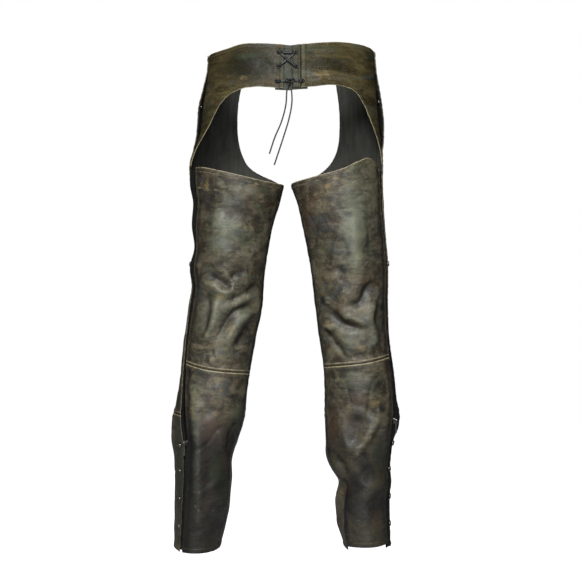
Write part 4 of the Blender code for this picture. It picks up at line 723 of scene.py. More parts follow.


# The broad grey-green patches on the middles of the thighs and the narrow ones on the calves are partly a
# painted sheen where the light falls; narrow dark marks laid in troughs of the folds are painted shade.
# Where a colour lies on the hide. Columns: colour, x, height, half width, half height, strength
STAINS = {
    ("left", "back"): (
        ("sage_and_sheen", 0.125, 0.680, 0.040, 0.090, 0.6), ("sage_and_sheen", 0.115, 0.480, 0.055, 0.060, 0.55),
        ("sage_and_sheen", 0.190, 0.340, 0.020, 0.030, 0.5), ("sage_and_sheen", 0.189, 0.200, 0.006, 0.090, 0.75),
        ("sage_and_sheen", 0.140, 0.090, 0.008, 0.040, 0.5), ("sage_and_sheen", 0.104, 0.255, 0.008, 0.030, 0.5),
        ("moss", 0.226, 0.150, 0.016, 0.140, 0.9), ("dark", 0.228, 0.150, 0.014, 0.160, 0.6),
        ("dark", 0.232, 0.330, 0.012, 0.060, 0.6), ("moss", 0.150, 0.170, 0.014, 0.030, 0.7),
        ("rust", 0.130, 0.200, 0.010, 0.030, 0.6),
        ("tan", 0.167, 0.750, 0.009, 0.018, 0.9), ("tan", 0.140, 0.524, 0.014, 0.012, 0.8),
        ("tan", 0.143, 0.709, 0.020, 0.014, 0.4), ("tan", 0.139, 0.660, 0.018, 0.012, 0.4),
        ("tan", 0.152, 0.398, 0.012, 0.006, 0.6), ("tan", 0.186, 0.320, 0.018, 0.036, 0.25),
        ("tan", 0.150, 0.286, 0.014, 0.005, 0.7), ("tan", 0.128, 0.226, 0.006, 0.018, 0.6),
        ("tan", 0.120, 0.452, 0.012, 0.020, 0.7), ("tan", 0.196, 0.300, 0.006, 0.050, 0.5),
        # The dark marks at heights 0.561 and 0.567 lie in the troughs behind the knee: painted shade.
        ("dark", 0.063, 0.682, 0.012, 0.018, 0.7), ("dark", 0.158, 0.561, 0.020, 0.007, 0.7),
        ("dark", 0.105, 0.567, 0.014, 0.008, 0.7), ("dark", 0.160, 0.198, 0.014, 0.030, 0.7),
        ("dark", 0.150, 0.100, 0.030, 0.060, 0.4), ("dark", 0.100, 0.120, 0.020, 0.060, 0.4),
        ("moss", 0.053, 0.743, 0.014, 0.014, 0.7), ("moss", 0.103, 0.260, 0.016, 0.042, 0.8),
        ("moss", 0.125, 0.120, 0.030, 0.100, 0.55), ("moss", 0.100, 0.690, 0.030, 0.040, 0.3),
        ("rust", 0.152, 0.256, 0.026, 0.036, 0.8), ("rust", 0.120, 0.630, 0.030, 0.020, 0.3),
        ("rust", 0.180, 0.150, 0.014, 0.060, 0.2), ("tan", 0.096, 0.968, 0.030, 0.008, 0.4),
        ("dark", 0.075, 0.990, 0.085, 0.045, 0.95), ("moss", 0.075, 1.008, 0.040, 0.008, 0.8),
        ("rust", 0.126, 1.009, 0.020, 0.010, 0.35), ("rust", 0.148, 0.975, 0.012, 0.016, 0.35),
    ),
    ("right", "back"): (
        ("sage_and_sheen", 0.135, 0.680, 0.036, 0.100, 1.0), ("sage_and_sheen", 0.120, 0.440, 0.050, 0.035, 0.6),
        ("sage_and_sheen", 0.140, 0.345, 0.050, 0.024, 0.6), ("rust", 0.132, 0.255, 0.030, 0.036, 0.55),
        ("dark", 0.120, 0.240, 0.014, 0.026, 0.5), ("tan", 0.150, 0.212, 0.020, 0.012, 0.35),
        ("rust", 0.031, 0.670, 0.022, 0.085, 0.8), ("rust", 0.088, 0.255, 0.016, 0.048, 0.8),
        ("rust", 0.118, 0.134, 0.016, 0.016, 0.7), ("rust", 0.138, 0.316, 0.030, 0.018, 0.5),
        ("rust", 0.112, 0.060, 0.014, 0.018, 0.5), ("moss", 0.177, 0.340, 0.020, 0.020, 0.6),
        ("moss", 0.181, 0.200, 0.014, 0.050, 0.8), ("moss", 0.100, 0.093, 0.010, 0.060, 0.7),
        ("tan", 0.160, 0.240, 0.010, 0.024, 0.4), ("tan", 0.126, 0.196, 0.012, 0.012, 0.45),
        ("dark", 0.139, 0.145, 0.014, 0.014, 1.1), ("dark", 0.155, 0.089, 0.018, 0.016, 1.1),
        ("tan", 0.077, 0.745, 0.010, 0.009, 0.8), ("tan", 0.093, 0.763, 0.012, 0.006, 0.7),
        ("tan", 0.079, 0.464, 0.014, 0.010, 0.7), ("tan", 0.148, 0.418, 0.012, 0.008, 0.8),
        ("tan", 0.175, 0.307, 0.014, 0.014, 0.9), ("rust", 0.178, 0.068, 0.014, 0.028, 0.7),
        ("moss", 0.175, 0.050, 0.020, 0.030, 0.5), ("tan", 0.138, 0.600, 0.008, 0.060, 0.4),
        ("dark", 0.085, 0.721, 0.014, 0.009, 0.8), ("dark", 0.118, 0.690, 0.014, 0.010, 0.7),
        # The dark marks at heights 0.577, 0.513, 0.295 and 0.280 lie in troughs of the folds: painted shade.
        ("dark", 0.109, 0.577, 0.016, 0.010, 0.7), ("dark", 0.065, 0.513, 0.006, 0.009, 0.8),
        ("dark", 0.188, 0.295, 0.012, 0.008, 0.8), ("dark", 0.138, 0.280, 0.016, 0.018, 0.8),
        ("dark", 0.150, 0.195, 0.010, 0.014, 0.7),
        ("dark", 0.161, 0.165, 0.012, 0.014, 1.1), ("dark", 0.183, 0.107, 0.012, 0.016, 1.1),
        ("dark", 0.127, 0.106, 0.014, 0.020, 1.0), ("dark", 0.088, 0.295, 0.020, 0.008, 0.6),
        ("moss", 0.164, 0.630, 0.006, 0.030, 0.9), ("moss", 0.182, 0.465, 0.009, 0.045, 0.8),
        ("tan", 0.064, 0.968, 0.030, 0.012, 0.7), ("dark", 0.042, 1.011, 0.014, 0.008, 0.8),
        ("dark", 0.106, 0.985, 0.016, 0.012, 0.8), ("tan", 0.140, 0.960, 0.020, 0.008, 0.4),
    ),
    ("left", "front"): (
        ("sage_and_sheen", 0.140, 0.640, 0.040, 0.080, 0.7), ("sage_and_sheen", 0.130, 0.440, 0.050, 0.040, 0.6),
        ("rust", 0.130, 0.640, 0.030, 0.060, 0.4), ("tan", 0.150, 0.470, 0.020, 0.010, 0.6),
        ("dark", 0.090, 0.560, 0.020, 0.016, 0.6), ("tan", 0.160, 0.700, 0.014, 0.030, 0.4),
        ("moss", 0.110, 0.380, 0.020, 0.020, 0.6), ("dark", 0.180, 0.200, 0.016, 0.040, 0.5),
    ),
    ("right", "front"): (
        ("sage_and_sheen", 0.130, 0.660, 0.040, 0.080, 0.7), ("sage_and_sheen", 0.120, 0.430, 0.050, 0.040, 0.6),
        ("rust", 0.080, 0.680, 0.045, 0.080, 0.3), ("tan", 0.130, 0.480, 0.020, 0.010, 0.6),
        ("dark", 0.150, 0.580, 0.020, 0.016, 0.6), ("tan", 0.120, 0.740, 0.020, 0.014, 0.5),
        ("moss", 0.165, 0.400, 0.014, 0.030, 0.6), ("dark", 0.120, 0.180, 0.016, 0.040, 0.5),
    ),
}


STAIN_FACING = 0.05, 0.4  # how squarely hide lies to a stain's face: where it starts to show, and how fast


def stained(side, point, normal):
    """How strongly each colour lies at each point; some of it is painted sheen and painted shade."""
    x, height = np.abs(point[..., 0]), point[..., 2] + WAIST
    marks = {colour: np.zeros(x.shape) for colour in ("tan", "rust", "dark", "moss", "sage_and_sheen")}
    for face, facing in (("back", normal[..., 1]), ("front", -normal[..., 1])):
        shown = smooth((facing - STAIN_FACING[0]) / STAIN_FACING[1])
        for colour, across, up, wide, tall, strength in STAINS[side, face]:
            spot = np.exp(-(((x - across) / wide) ** 2) - ((height - up) / tall) ** 2)
            marks[colour] += strength * shown * spot
    return marks


CREASES = (0.100, 0.0010, 0.20), (0.055, 0.0007, 0.22)  # length of their waves, depth, width in shares of it
CREASED, CREASED_WAVE = 0.35, 0.13  # how much of the hide is creased, and in patches of what size


def crumple(points, seed):
    """Fine creases that wander over worn hide: how deep they are, and how far they sink."""
    deep, sunk = np.zeros(points.shape[:-1]), np.zeros(points.shape[:-1])
    for i, (length, depth, wide) in enumerate(CREASES):
        crease = np.exp(-((ripple(points, length, seed + i) / wide) ** 2))
        crease = crease * smooth(CREASED + ripple(points, CREASED_WAVE, seed + 10 + i))
        deep, sunk = deep + crease, sunk + depth * crease
    return deep, sunk


PLAIN_HIDE = ("hide", HIDE_GRAIN, HIDE_GRAIN)  # slot, grain side, cut edge
CREST, CREST_HIGHLIGHT, CREST_RUB_AND_HIGHLIGHT = 0.006, 0.6, 0.30  # a ridge this high gets this much painted highlight in grey-green, and this much pale, part rubbed wear and part painted highlight
TROUGH, TROUGH_SHADE, CREASE_SHADE = 0.007, 0.55, 0.20  # a trough this deep, and a crease, get this much painted shade
SWELL_HIGH, SWELL_WAVE, STILL = 0.0006, 0.045, 0.016  # the hide's own swell; the border that is free of it


def hide_panel(name, panel, out, rubbed, seed, cut, hangs, looks=PLAIN_HIDE, quiet=0.0, dark=0.0, hem_dark=0.0):
    """A panel of hide: laid on the form with its seams' relief, and marked for wear, for a painted highlight
    on its crests and for painted shade in its troughs and creases.
    """
    side, angle, height, flip = panel.side, panel.angle, panel.height, panel.flip
    grid = placed(side, angle, height, out)
    loose = smooth((np.minimum.reduce(borders(grid)) - quiet) / STILL)  # 0 where it lies close on others
    deep, sunk = crumple(grid, seed)
    lift = loose * (SWELL_HIGH * ripple(grid, SWELL_WAVE, seed) - sunk)
    grid = grid + normals_of(grid, flip) * lift[..., None]
    normal = outward(side, angle, height)
    lifted, marks = relief(side, panel.point, normal), stained(side, panel.point, normal)
    # Ridges get a painted highlight: grey-green, and pale that mixes with the rubbed wear.
    ridge_highlight = np.clip(lifted / CREST, 0, 1)
    marks["sage_and_sheen"] += ridge_highlight * CREST_HIGHLIGHT
    marks["dark"] += hem_dark
    marks["pale"] = rubbed + ridge_highlight * CREST_RUB_AND_HIGHLIGHT
    # Near-black painted shade in the troughs of the folds and in the fine creases, added to the dark that the
    # caller passes.
    marks["deep"] = np.clip(-lifted / TROUGH, 0, 1) * TROUGH_SHADE + deep * loose * CREASE_SHADE + dark
    slot, grain, rim = looks
    piece = sheet_of(name, "_hide", grid, flip, (grain, HIDE_INSIDE, rim), HIDE, marks)
    return grid


THIGH_CUT = (0.31, 0.43, 0.090)  # of each panel before it was sewn: width, length, area
FACING = {"left": 0.042, "right": 0.036}  # depth of the doubled band below the top edge

for side, band in FACING.items():
    ends = edge(KNEE_BACK, side), edge(THIGH_TOP, side)
    panel = Panel(side, back_span, *ends, shares(0.30, 0.0030), shares(0.40, 0.0030))
    zip_side, inner_side, knee, top = panel.borders
    out = turned_edge(top, EDGE_TURN, TOP_STITCH, TOP_STITCH_LOW) + seam_edge(knee)
    out += turned_edge(top, band, band - TOP_STITCH) * 0.6 + turned_edge(zip_side, ZIP_TURN, ZIP_STITCH)
    out += pucker(panel.point, (knee, 1), (top, 2), (zip_side, 3))
    rubbed = bands(
        (zip_side, 0.0015, 0.45), (top, 0.0020, 0.95), (knee - KNEE_RIDGE, 0.0016, 0.9),
        (top - TOP_STITCH_LOW, 0.0016, 0.65), (top - band, 0.0018, 0.55),
    )
    # Darker at the knee seam; beside the zip and along the inner seam, where the leg turns away from the
    # light, this is painted shade.
    dark = bands((knee, 0.004, 0.5), (zip_side - 0.010, 0.012, 0.6), (inner_side, 0.018, 0.9))
    name, hangs = "back_thigh_" + side, "front_thigh_" + side
    grid = hide_panel(name, panel, out, rubbed, 11, THIGH_CUT, hangs, dark=dark)
    band_rows = (TOP, TOP_STITCH), (TOP, TOP_STITCH_LOW), (TOP, band - TOP_STITCH)
    sew(side, grid, panel.flip, *band_rows, (LOW, KNEE_STITCH), (FIRST, ZIP_STITCH))


# ---- Backs of the calves ----
# Two panels of the same hide from the knee seam to the hem, sewn along the inner leg and turned over along
# the zip and at the hem.

HEM_STITCH = 0.009
HEM_BACK = {
    "left": ((20, 0.001), (180, 0.0)),
    "right": ((20, 0.013), (80, 0.013), (130, 0.010), (180, 0.001)),
}

CALF_CUT = (0.27, 0.40, 0.061)
HEM_TURN = 0.011
ZIP_RUBBED = {"left": 0.1, "right": 0.6}  # how pale the edge beside the zip is worn
# How much darker the calves are made towards the hem, below which height, and over how far it fades
CALF_DARK, CALF_DARK_BELOW, CALF_FADE = {"left": 0.80, "right": 0.55}, {"left": 0.345, "right": 0.325}, 0.13

for side in SIDES:
    ends = edge(HEM_BACK, side), edge(KNEE_BACK, side, GAP)
    panel = Panel(side, back_span, *ends, shares(0.25, 0.0030), shares(0.38, 0.0030))
    zip_side, inner_side, hem, knee = panel.borders
    out = turned_edge(zip_side, ZIP_TURN, ZIP_STITCH) + turned_edge(hem, HEM_TURN, HEM_STITCH)
    out += seam_edge(knee) + pucker(panel.point, (knee, 4), (hem, 5), (zip_side, 6))
    handled = ZIP_RUBBED[side] * smooth((panel.height - 0.26) / 0.03)
    rubbed = bands((zip_side, 0.0014, handled), (hem, 0.0016, 0.35), (knee - 0.001, 0.0018, 1))
    # Painted shade beside the zip and along the inner seam, where the leg turns away from the light.
    dark = bands((zip_side - 0.010, 0.012, 0.6), (inner_side, 0.016, 0.9))
    hem_dark = CALF_DARK[side] * smooth((CALF_DARK_BELOW[side] - panel.height) / CALF_FADE)
    name, hangs = "back_calf_" + side, "back_thigh_" + side
    grid = hide_panel(name, panel, out, rubbed, 12, CALF_CUT, hangs, dark=dark, hem_dark=hem_dark)
    sew(side, grid, panel.flip, (TOP, KNEE_STITCH), (LOW, HEM_STITCH))
    sew("zips", grid, panel.flip, (FIRST, ZIP_STITCH))


# ---- Fronts of the thighs ----
# Two long panels from the front knee seam to the waist. Above the crotch each one's inner edge is open and
# bound by turning; at the hip its side edge laps over the yoke, and gapes there as the mouth of a pocket.

KNEE_FRONT = 0.280
# Distance of each open edge from the middle plane. Columns: height, x
OPEN_EDGES = {
    "left": (
        (0.758, 0.0113), (0.770, 0.030), (0.787, 0.060), (0.804, 0.085), (0.832, 0.102),
        (0.860, 0.109), (0.905, 0.1115), (0.950, 0.108), (0.985, 0.101), (1.040, 0.092),
    ),
    "right": (
        (0.758, 0.0046), (0.771, 0.030), (0.788, 0.062), (0.806, 0.084), (0.828, 0.099),
        (0.850, 0.106), (0.885, 0.109), (0.925, 0.1085), (0.985, 0.101), (1.040, 0.092),
    ),
}
WAIST_TOP = {
    "left": ((-90, 1.025), (-45, 1.025), (0, 1.0265), (40, 1.028), (56, 1.034), (70, 1.032), (90, 1.0265)),
    "right": ((-90, 1.025), (-45, 1.028), (0, 1.034), (35, 1.038), (58, 1.037), (75, 1.032), (90, 1.0265)),
}
# How far the lip of each pocket's mouth stands out. Columns: height, out
LIPS = {
    "left": ((0.828, 0.0), (0.850, 0.0030), (0.880, 0.0070), (0.920, 0.0075), (0.955, 0.0045), (0.992, 0.0)),
    "right": ((0.828, 0.0), (0.852, 0.0040), (0.880, 0.0085), (0.915, 0.0085), (0.955, 0.0050), (0.992, 0.0)),
}
LIP_ROOT, LIP_EDGE = -14, 6  # angles between which the lip bends away
LAP = 0.0020  # the front panel's outer face above the yoke's, where it laps over it
LAP_LOW, LAP_FADE = 0.765, 0.030  # the height from which it lifts off, and over how far
LAP_WIDE, LAP_STILL = 0.045, 0.030  # how far the two lie on each other, and there keep still
OPEN_STITCH = 0.006


def open_angle(side, height):
    """The angle on the front at which the section crosses the open edge."""
    stops = np.linspace(CROTCH, 1.05, 120)
    x = read(OPEN_EDGES[side], 1, stops)
    low, high = np.full_like(stops, -180.0), np.zeros_like(stops)
    for _ in range(30):
        middle = (low + high) / 2
        beyond = SIDES[side] * section(side, middle, stops)[..., 0] > x
        low, high = np.where(beyond, low, middle), np.where(beyond, middle, high)
    return np.interp(height, stops, (low + high) / 2)


def front_span(side, height):
    """The angles between which a front panel runs: from the zip to the inner seam or to the open edge."""
    seam = read(LEGS[side], INNER_SEAM, height)
    closed = seam - 360 + turn(side, seam, height, SEAM / 2)
    return read(LEGS[side], FRONT_EDGE, height), np.where(height > CROTCH, open_angle(side, height), closed)


def lip_out(side, angle, height):
    """How far the front panel's side edge stands off the yoke."""
    bend = np.clip((angle - LIP_ROOT) / (LIP_EDGE - LIP_ROOT), 0, 1) ** 2
    return LAP * smooth((height - LAP_LOW) / LAP_FADE) + bend * read(LIPS[side], 1, height)


FRONT_CUT = (0.44, 0.78, 0.181)

for side in SIDES:
    ends = level(KNEE_FRONT), edge(WAIST_TOP, side)
    panel = Panel(side, front_span, *ends, shares(0.42), shares(0.74, 0.0040))
    zip_side, open_side, knee, top = panel.borders
    above = smooth((panel.height - CROTCH) / 0.012)  # 1 where the inner edge is open
    out = lip_out(side, panel.angle, panel.height) + turned_edge(zip_side, ZIP_TURN, ZIP_STITCH)
    out += turned_edge(open_side, EDGE_TURN, OPEN_STITCH) * above + turned_edge(top, EDGE_TURN, OPEN_STITCH)
    out += seam_edge(knee) + pucker(panel.point, (knee, 7), (open_side, 8), (zip_side, 9))
    rubbed = bands((zip_side, 0.0014, 0.4), (top, 0.0020, 0.7), (open_side, 0.0018, 0.6 * above))
    rubbed += bands((knee - KNEE_RIDGE, 0.0014, 0.7))
    still = LAP_STILL * smooth((LAP_WIDE - zip_side) / 0.010) * above
    looks = {"dark": bands((knee, 0.004, 0.5)), "quiet": still}
    name, hangs = "front_thigh_" + side, "belt_" + side
    grid = hide_panel(name, panel, out, rubbed, 13, FRONT_CUT, hangs, **looks)
    crotch_row = int(np.searchsorted(panel.height[:, -1], CROTCH + 0.004)) / len(grid)
    sew(side, grid, panel.flip, (FIRST, ZIP_STITCH), (LAST, OPEN_STITCH, crotch_row, 1))
    sew(side, grid, panel.flip, (LOW, KNEE_STITCH), (TOP, OPEN_STITCH))


# ---- Fronts of the shins ----
# Two panels of the same hide from the front knee seam to the hem, sewn to the calves along the inner leg and
# turned over at the zip and at the hem. The row of snaps closes over their edge at the zip.

SHIN_CUT = (0.40, 0.29, 0.078)

for side in SIDES:
    panel = Panel(side, front_span, level(0.0), level(KNEE_FRONT - GAP), shares(0.36), shares(0.28))
    zip_side, inner_side, hem, knee = panel.borders
    out = turned_edge(zip_side, ZIP_TURN, ZIP_STITCH) + turned_edge(hem, HEM_TURN, HEM_STITCH)
    out += seam_edge(knee) + pucker(panel.point, (knee, 4), (hem, 5), (zip_side, 6))
    rubbed = bands((zip_side, 0.0012, 0.25), (hem, 0.0016, 0.4), (knee - 0.001, 0.0018, 0.8))
    grid = hide_panel("front_shin_" + side, panel, out, rubbed, 14, SHIN_CUT, "front_thigh_" + side)
    sew(side, grid, panel.flip, (TOP, KNEE_STITCH), (LOW, HEM_STITCH))
    sew("zips", grid, panel.flip, (FIRST, ZIP_STITCH))


# ---- Back yoke ----
# The wide back band in two halves, each with a wing that runs down the hip to the zip. Its top is turned over
# and topstitched, its lower edge is cut raw, so that the pale core of the hide shows as a line.

YOKE_LOW = {
    "left": (
        (-4, 0.797), (6, 0.800), (12, 0.820), (19, 0.846), (28, 0.878), (35, 0.903), (41, 0.921),
        (48, 0.934), (56, 0.942), (66, 0.9445), (84, 0.940), (96, 0.939),
    ),
    "right": (
        (-4, 0.800), (5, 0.803), (11, 0.818), (17, 0.836), (22, 0.860), (28, 0.885), (35, 0.915),
        (43, 0.938), (52, 0.9465), (63, 0.949), (76, 0.944), (96, 0.939),
    ),
}
YOKE_FRONT = ((0.79, -4), (0.84, -4), (0.865, -1), (0.95, -1), (0.985, -4), (1.04, -4))  # height, angle
YOKE_CENTRE = {"left": 85.2, "right": 83.8}  # angle at which each half ends beside the lacing
YOKE_TOP_STITCH, YOKE_LOW_STITCH = 0.0075, 0.006

YOKE_CUT = (0.24, 0.24, 0.029)
YOKE_STILL = 0.035
YOKE_DARK = {"left": 0.7, "right": 0.35}  # how dark the wax lies in the top row of stitches
YOKE_WIPED = {"gloss": 0.18, "lean": 0.22, "wiped": (0.42, 0.42, 1.5)}
YOKE_GRAIN = leather("yoke_grain", "262211", "4c4429", "10120b", "675a38", **YOKE_WIPED)


def yoke_span(side, height):
    """The angles between which half of the yoke runs: from under the front panel to the lacing."""
    stops = np.array(YOKE_FRONT)
    return np.interp(height, stops[:, 0], stops[:, 1]), np.full_like(height, YOKE_CENTRE[side])


for side in SIDES:
    ends = edge(YOKE_LOW, side), edge(WAIST_TOP, side)
    panel = Panel(side, yoke_span, *ends, shares(0.27), shares(0.19))
    hip, centre, low, top = panel.borders
    out = turned_edge(top, EDGE_TURN, YOKE_TOP_STITCH) - bands((low - YOKE_LOW_STITCH, 0.001, 0.0003))
    out += pucker(panel.point, (top, 15), (low, 16))
    out += seam_edge(centre) if side == "right" else turned_edge(centre, 0.010, KNEE_STITCH)
    rubbed = bands((top, 0.0011, 0.9), (low, 0.0011, 0.9), (top - YOKE_TOP_STITCH, 0.0014, 0.3))
    dark = bands((top - YOKE_TOP_STITCH - 0.0010, 0.0011, YOKE_DARK[side]))
    still = YOKE_STILL * smooth((LAP_WIDE - hip) / 0.010)  # under the front panel's lap
    looks = {"looks": ("hide_yoke", YOKE_GRAIN, HIDE_CUT), "quiet": still, "dark": dark}
    grid = hide_panel("back_yoke_" + side, panel, out, rubbed, 17, YOKE_CUT, "belt_" + side, **looks)
    rows = (TOP, YOKE_TOP_STITCH), (LOW, YOKE_LOW_STITCH, 0.06, 1), (LAST, KNEE_STITCH)
    sew("yoke", grid, panel.flip, *rows)


# ---- Centre back ----
# A narrow placket of yoke hide carries the right row of eyelets, and is sewn to the right half of the yoke in
# a raised seam with two rows of stitches. A loose tongue lies behind the lacing and shows between the halves.

WAIST_HALF = 0.1752  # half the width of the waist
PLACKET, TONGUE = (89.8, 96.0), (79.5, 100.5)  # angles round the back between which each lies
TONGUE_LONGER = 0.0035  # how far it reaches below the band
TONGUE_DEEP = HIDE + 2 * GAP


def either(angle, make):
    """Values on the half that an angle is on. Angles are counted from the left hip on past the middle."""
    on_left = np.abs(angle) <= 90
    own = np.where(on_left, angle, np.copysign(180, angle) - angle)
    left, right = make("left", own), make("right", own)
    return np.where(on_left[..., None] if left.ndim > on_left.ndim else on_left, left, right)


def around(table, angle):
    """The height of a named edge, at angles counted from the left hip on past the middle."""
    return either(angle, lambda side, own: read(table[side], 1, own))


def turn_at(x):
    """The angle round the waist, counted from the left hip, at a distance x from the middle plane."""
    return np.degrees(np.arccos((x - HIP_CENTRE) / WAIST_HALF))


for name, (start, end), longer, deep, cut, dark, moss in (
    ("lacing_placket", PLACKET, 0.0, 0.0, (0.020, 0.088, 0.00165), 0.6, 0.4),
    # The tongue is made darker than the placket, partly as painted shade where it lies behind the lacing and
    # the knot.
    ("lacing_tongue", TONGUE, TONGUE_LONGER, TONGUE_DEEP, (0.064, 0.092, 0.0058), 1.3, 1.0),
):
    angle, share = np.meshgrid(np.linspace(start, end, 40), np.linspace(0, 1, 70))
    low = around(YOKE_LOW, angle) - longer
    height = low + (around(WAIST_TOP, angle) - low) * share
    flat = either(angle, lambda side, own: placed(side, own, height, -deep))
    left_side, right_side, under, above = borders(flat)
    lift = turned_edge(above, 0.010, YOKE_TOP_STITCH) + 0.0004 * ripple(flat, 0.03, 19)
    if name == "lacing_placket":
        lift += turned_edge(left_side, 0.005) + seam_edge(right_side)
    grid = flat + normals_of(flat, False) * lift[..., None]
    worn = bands((under, 0.0012, 0.25), (above, 0.0012, 0.25), (right_side - 0.0015, 0.0012, 0.25))
    marks = {"pale": worn, "deep": bands((right_side, 0.0015, 0.5)), "dark": dark, "moss": moss}
    finishes = (YOKE_GRAIN, HIDE_INSIDE, HIDE_CUT)
    piece = sheet_of(name, "_hide", grid, False, finishes, HIDE, marks)
    if name == "lacing_placket":
        sew("yoke", grid, False, (LAST, 0.0030), (TOP, YOKE_TOP_STITCH))


# ---- Pocket facings ----
# Black twill that lines the lip of each hip pocket's mouth. It is stuck to the inside of the front panel and
# shows where the lip gapes away from the yoke.

FACING_SPAN, FACING_LOW, FACING_TOP = (0.005, 0.24), 0.852, 0.954  # shares of the way round; heights
FACING_CUT, FACING_LOOSE = (0.030, 0.104), 0.0006


def black_cloth(name, ground, thread, cords):
    """Tightly woven black cloth: fine diagonal cords, a little dust on the nap."""
    mix = Finish(name)
    laid = mix.node("ShaderNodeUVMap", {"uv_map": "cut"})
    turned = mix.node("ShaderNodeMapping", None, {"Vector": laid, "Rotation": (0, 0, 0.9)})
    wave = {"Vector": turned, "Scale": cords, "Distortion": 0.6, "Detail": 1.0}
    cord = mix.node("ShaderNodeTexWave", {"wave_type": "BANDS"}, wave, output=1)
    dust = mix.noise(mix.where(), 70, 5, 0.65)
    bump = mix.bump(0.7, cord * 0.00025 + dust * 0.0008)
    shade = mix.blend(dust * cord, ground, thread)
    mix.paint(Base_Color=shade, Roughness=dust * 0.2 + 0.62, Normal=bump, Specular_IOR_Level=0.3)
    return mix.material


TWILL = black_cloth("black_twill", "060606", "1f1e1c", 260.0)


def cloth_piece(node, kind, panel, out, seed):
    """A piece of black cloth on the leg's form, with its own soft waves."""
    grid = placed(panel.side, panel.angle, panel.height, out)
    grid = grid + normals_of(grid, panel.flip) * (0.0004 * ripple(grid, 0.05, seed))[..., None]
    piece = sheet_of(node, kind, grid, panel.flip, (TWILL, TWILL, TWILL), CLOTH, {})


def facing_span(side, height):
    """The angles between which a facing runs, inside the front panel's side edge."""
    start, end = front_span(side, height)
    return start + (end - start) * FACING_SPAN[0], start + (end - start) * FACING_SPAN[1]


for side in SIDES:
    ends = level(FACING_LOW), level(FACING_TOP)
    panel = Panel(side, facing_span, *ends, np.linspace(0, 1, 40), np.linspace(0, 1, 50))
    out = lip_out(side, panel.angle, panel.height) - HIDE - GAP - FACING_LOOSE
    cloth_piece("pocket_facing_" + side, "_twill", panel, out, 21)


# ---- Side zips ----
# A black woven tape down each leg, sewn under both panels' edges: beside the teeth it widens to a flap that
# fills the space to the front panel. Metal teeth run up from the slider, and its pull tab hangs free.

ZIP_HALF, ZIP_INSET = 0.0030, 0.0048  # half the tape beside the teeth; from the back panel's edge to them
CHAIN_THICK, CHAIN_TOP = 0.0020, 0.7735
TAPE_LOW, TAPE_TOP, TAPE_UNDER, FLAP_SWELL = 0.004, 0.786, 0.03, 0.0028
TOOTH_PITCH = 0.00105  # from a tooth to the next one, which comes from the other side
STEM, STEM_ASIDE, HEAD_R, HEAD_TALL = (0.0030, 0.00085, 0.0015), 0.0012, 0.00075, 0.0019
SLIDER_HEIGHT = {"left": 0.226, "right": 0.268}
SLIDER_WIDE, SLIDER_TALL, SLIDER_THICK, SHIELD_THICK = 0.0090, 0.0120, 0.0035, 0.0012
BAIL_TALL, BAIL_HIGH, BAIL_WIRE, HINGE_HIGH = 0.0054, 0.0034, 0.0007, 0.00145
TAB_LONG, TAB_WIDE, TAB_THICK, TAB_STRIP = 0.0270, 0.0070, 0.0012, 0.0007


def zip_angle(side, height):
    """The middle of the zip, close beside the back panels' edge."""
    back_edge = read(LEGS[side], BACK_EDGE, height)
    return back_edge - turn(side, back_edge, height, ZIP_INSET)


def tape_out(side, angle, height):
    """The tape's outer face, under the panels' edges; the flap swells a little in between."""
    chain, front = zip_angle(side, height), read(LEGS[side], FRONT_EDGE, height)
    back = chain - turn(side, chain, height, ZIP_HALF)
    share = (angle - front) / np.maximum(back - front, 1)
    swell = np.minimum(FLAP_SWELL, (back - front) * 0.0001)
    return np.maximum(4 * share * (1 - share), 0) * swell - HIDE - GAP


def tape_span(side, height):
    """The angles between which a tape runs, a little under the back and the front panels."""
    back_start, back_end = back_span(side, height)
    front_start, front_end = front_span(side, height)
    under_back = back_start + (back_end - back_start) * TAPE_UNDER
    return under_back, front_start + (front_end - front_start) * TAPE_UNDER


def metal(name, dull, worn, rough):
    """Plated metal: darker in its dull patches, brighter and smoother where it is handled."""
    return mottled(name, dull, worn, 420, 4, rough, 0.2, Metallic=1.0)


NICKEL = metal("aged_nickel", "6f6d68", "c9c6bd", 0.16)
GUNMETAL = metal("dark_nickel", "2e2d2b", "77736b", 0.22)
SNAP_NICKEL = metal("worn_nickel", "4a4844", "a09c92", 0.22)
BLACKENED = metal("blackened_brass", "0b0b0b", "34322e", 0.25)


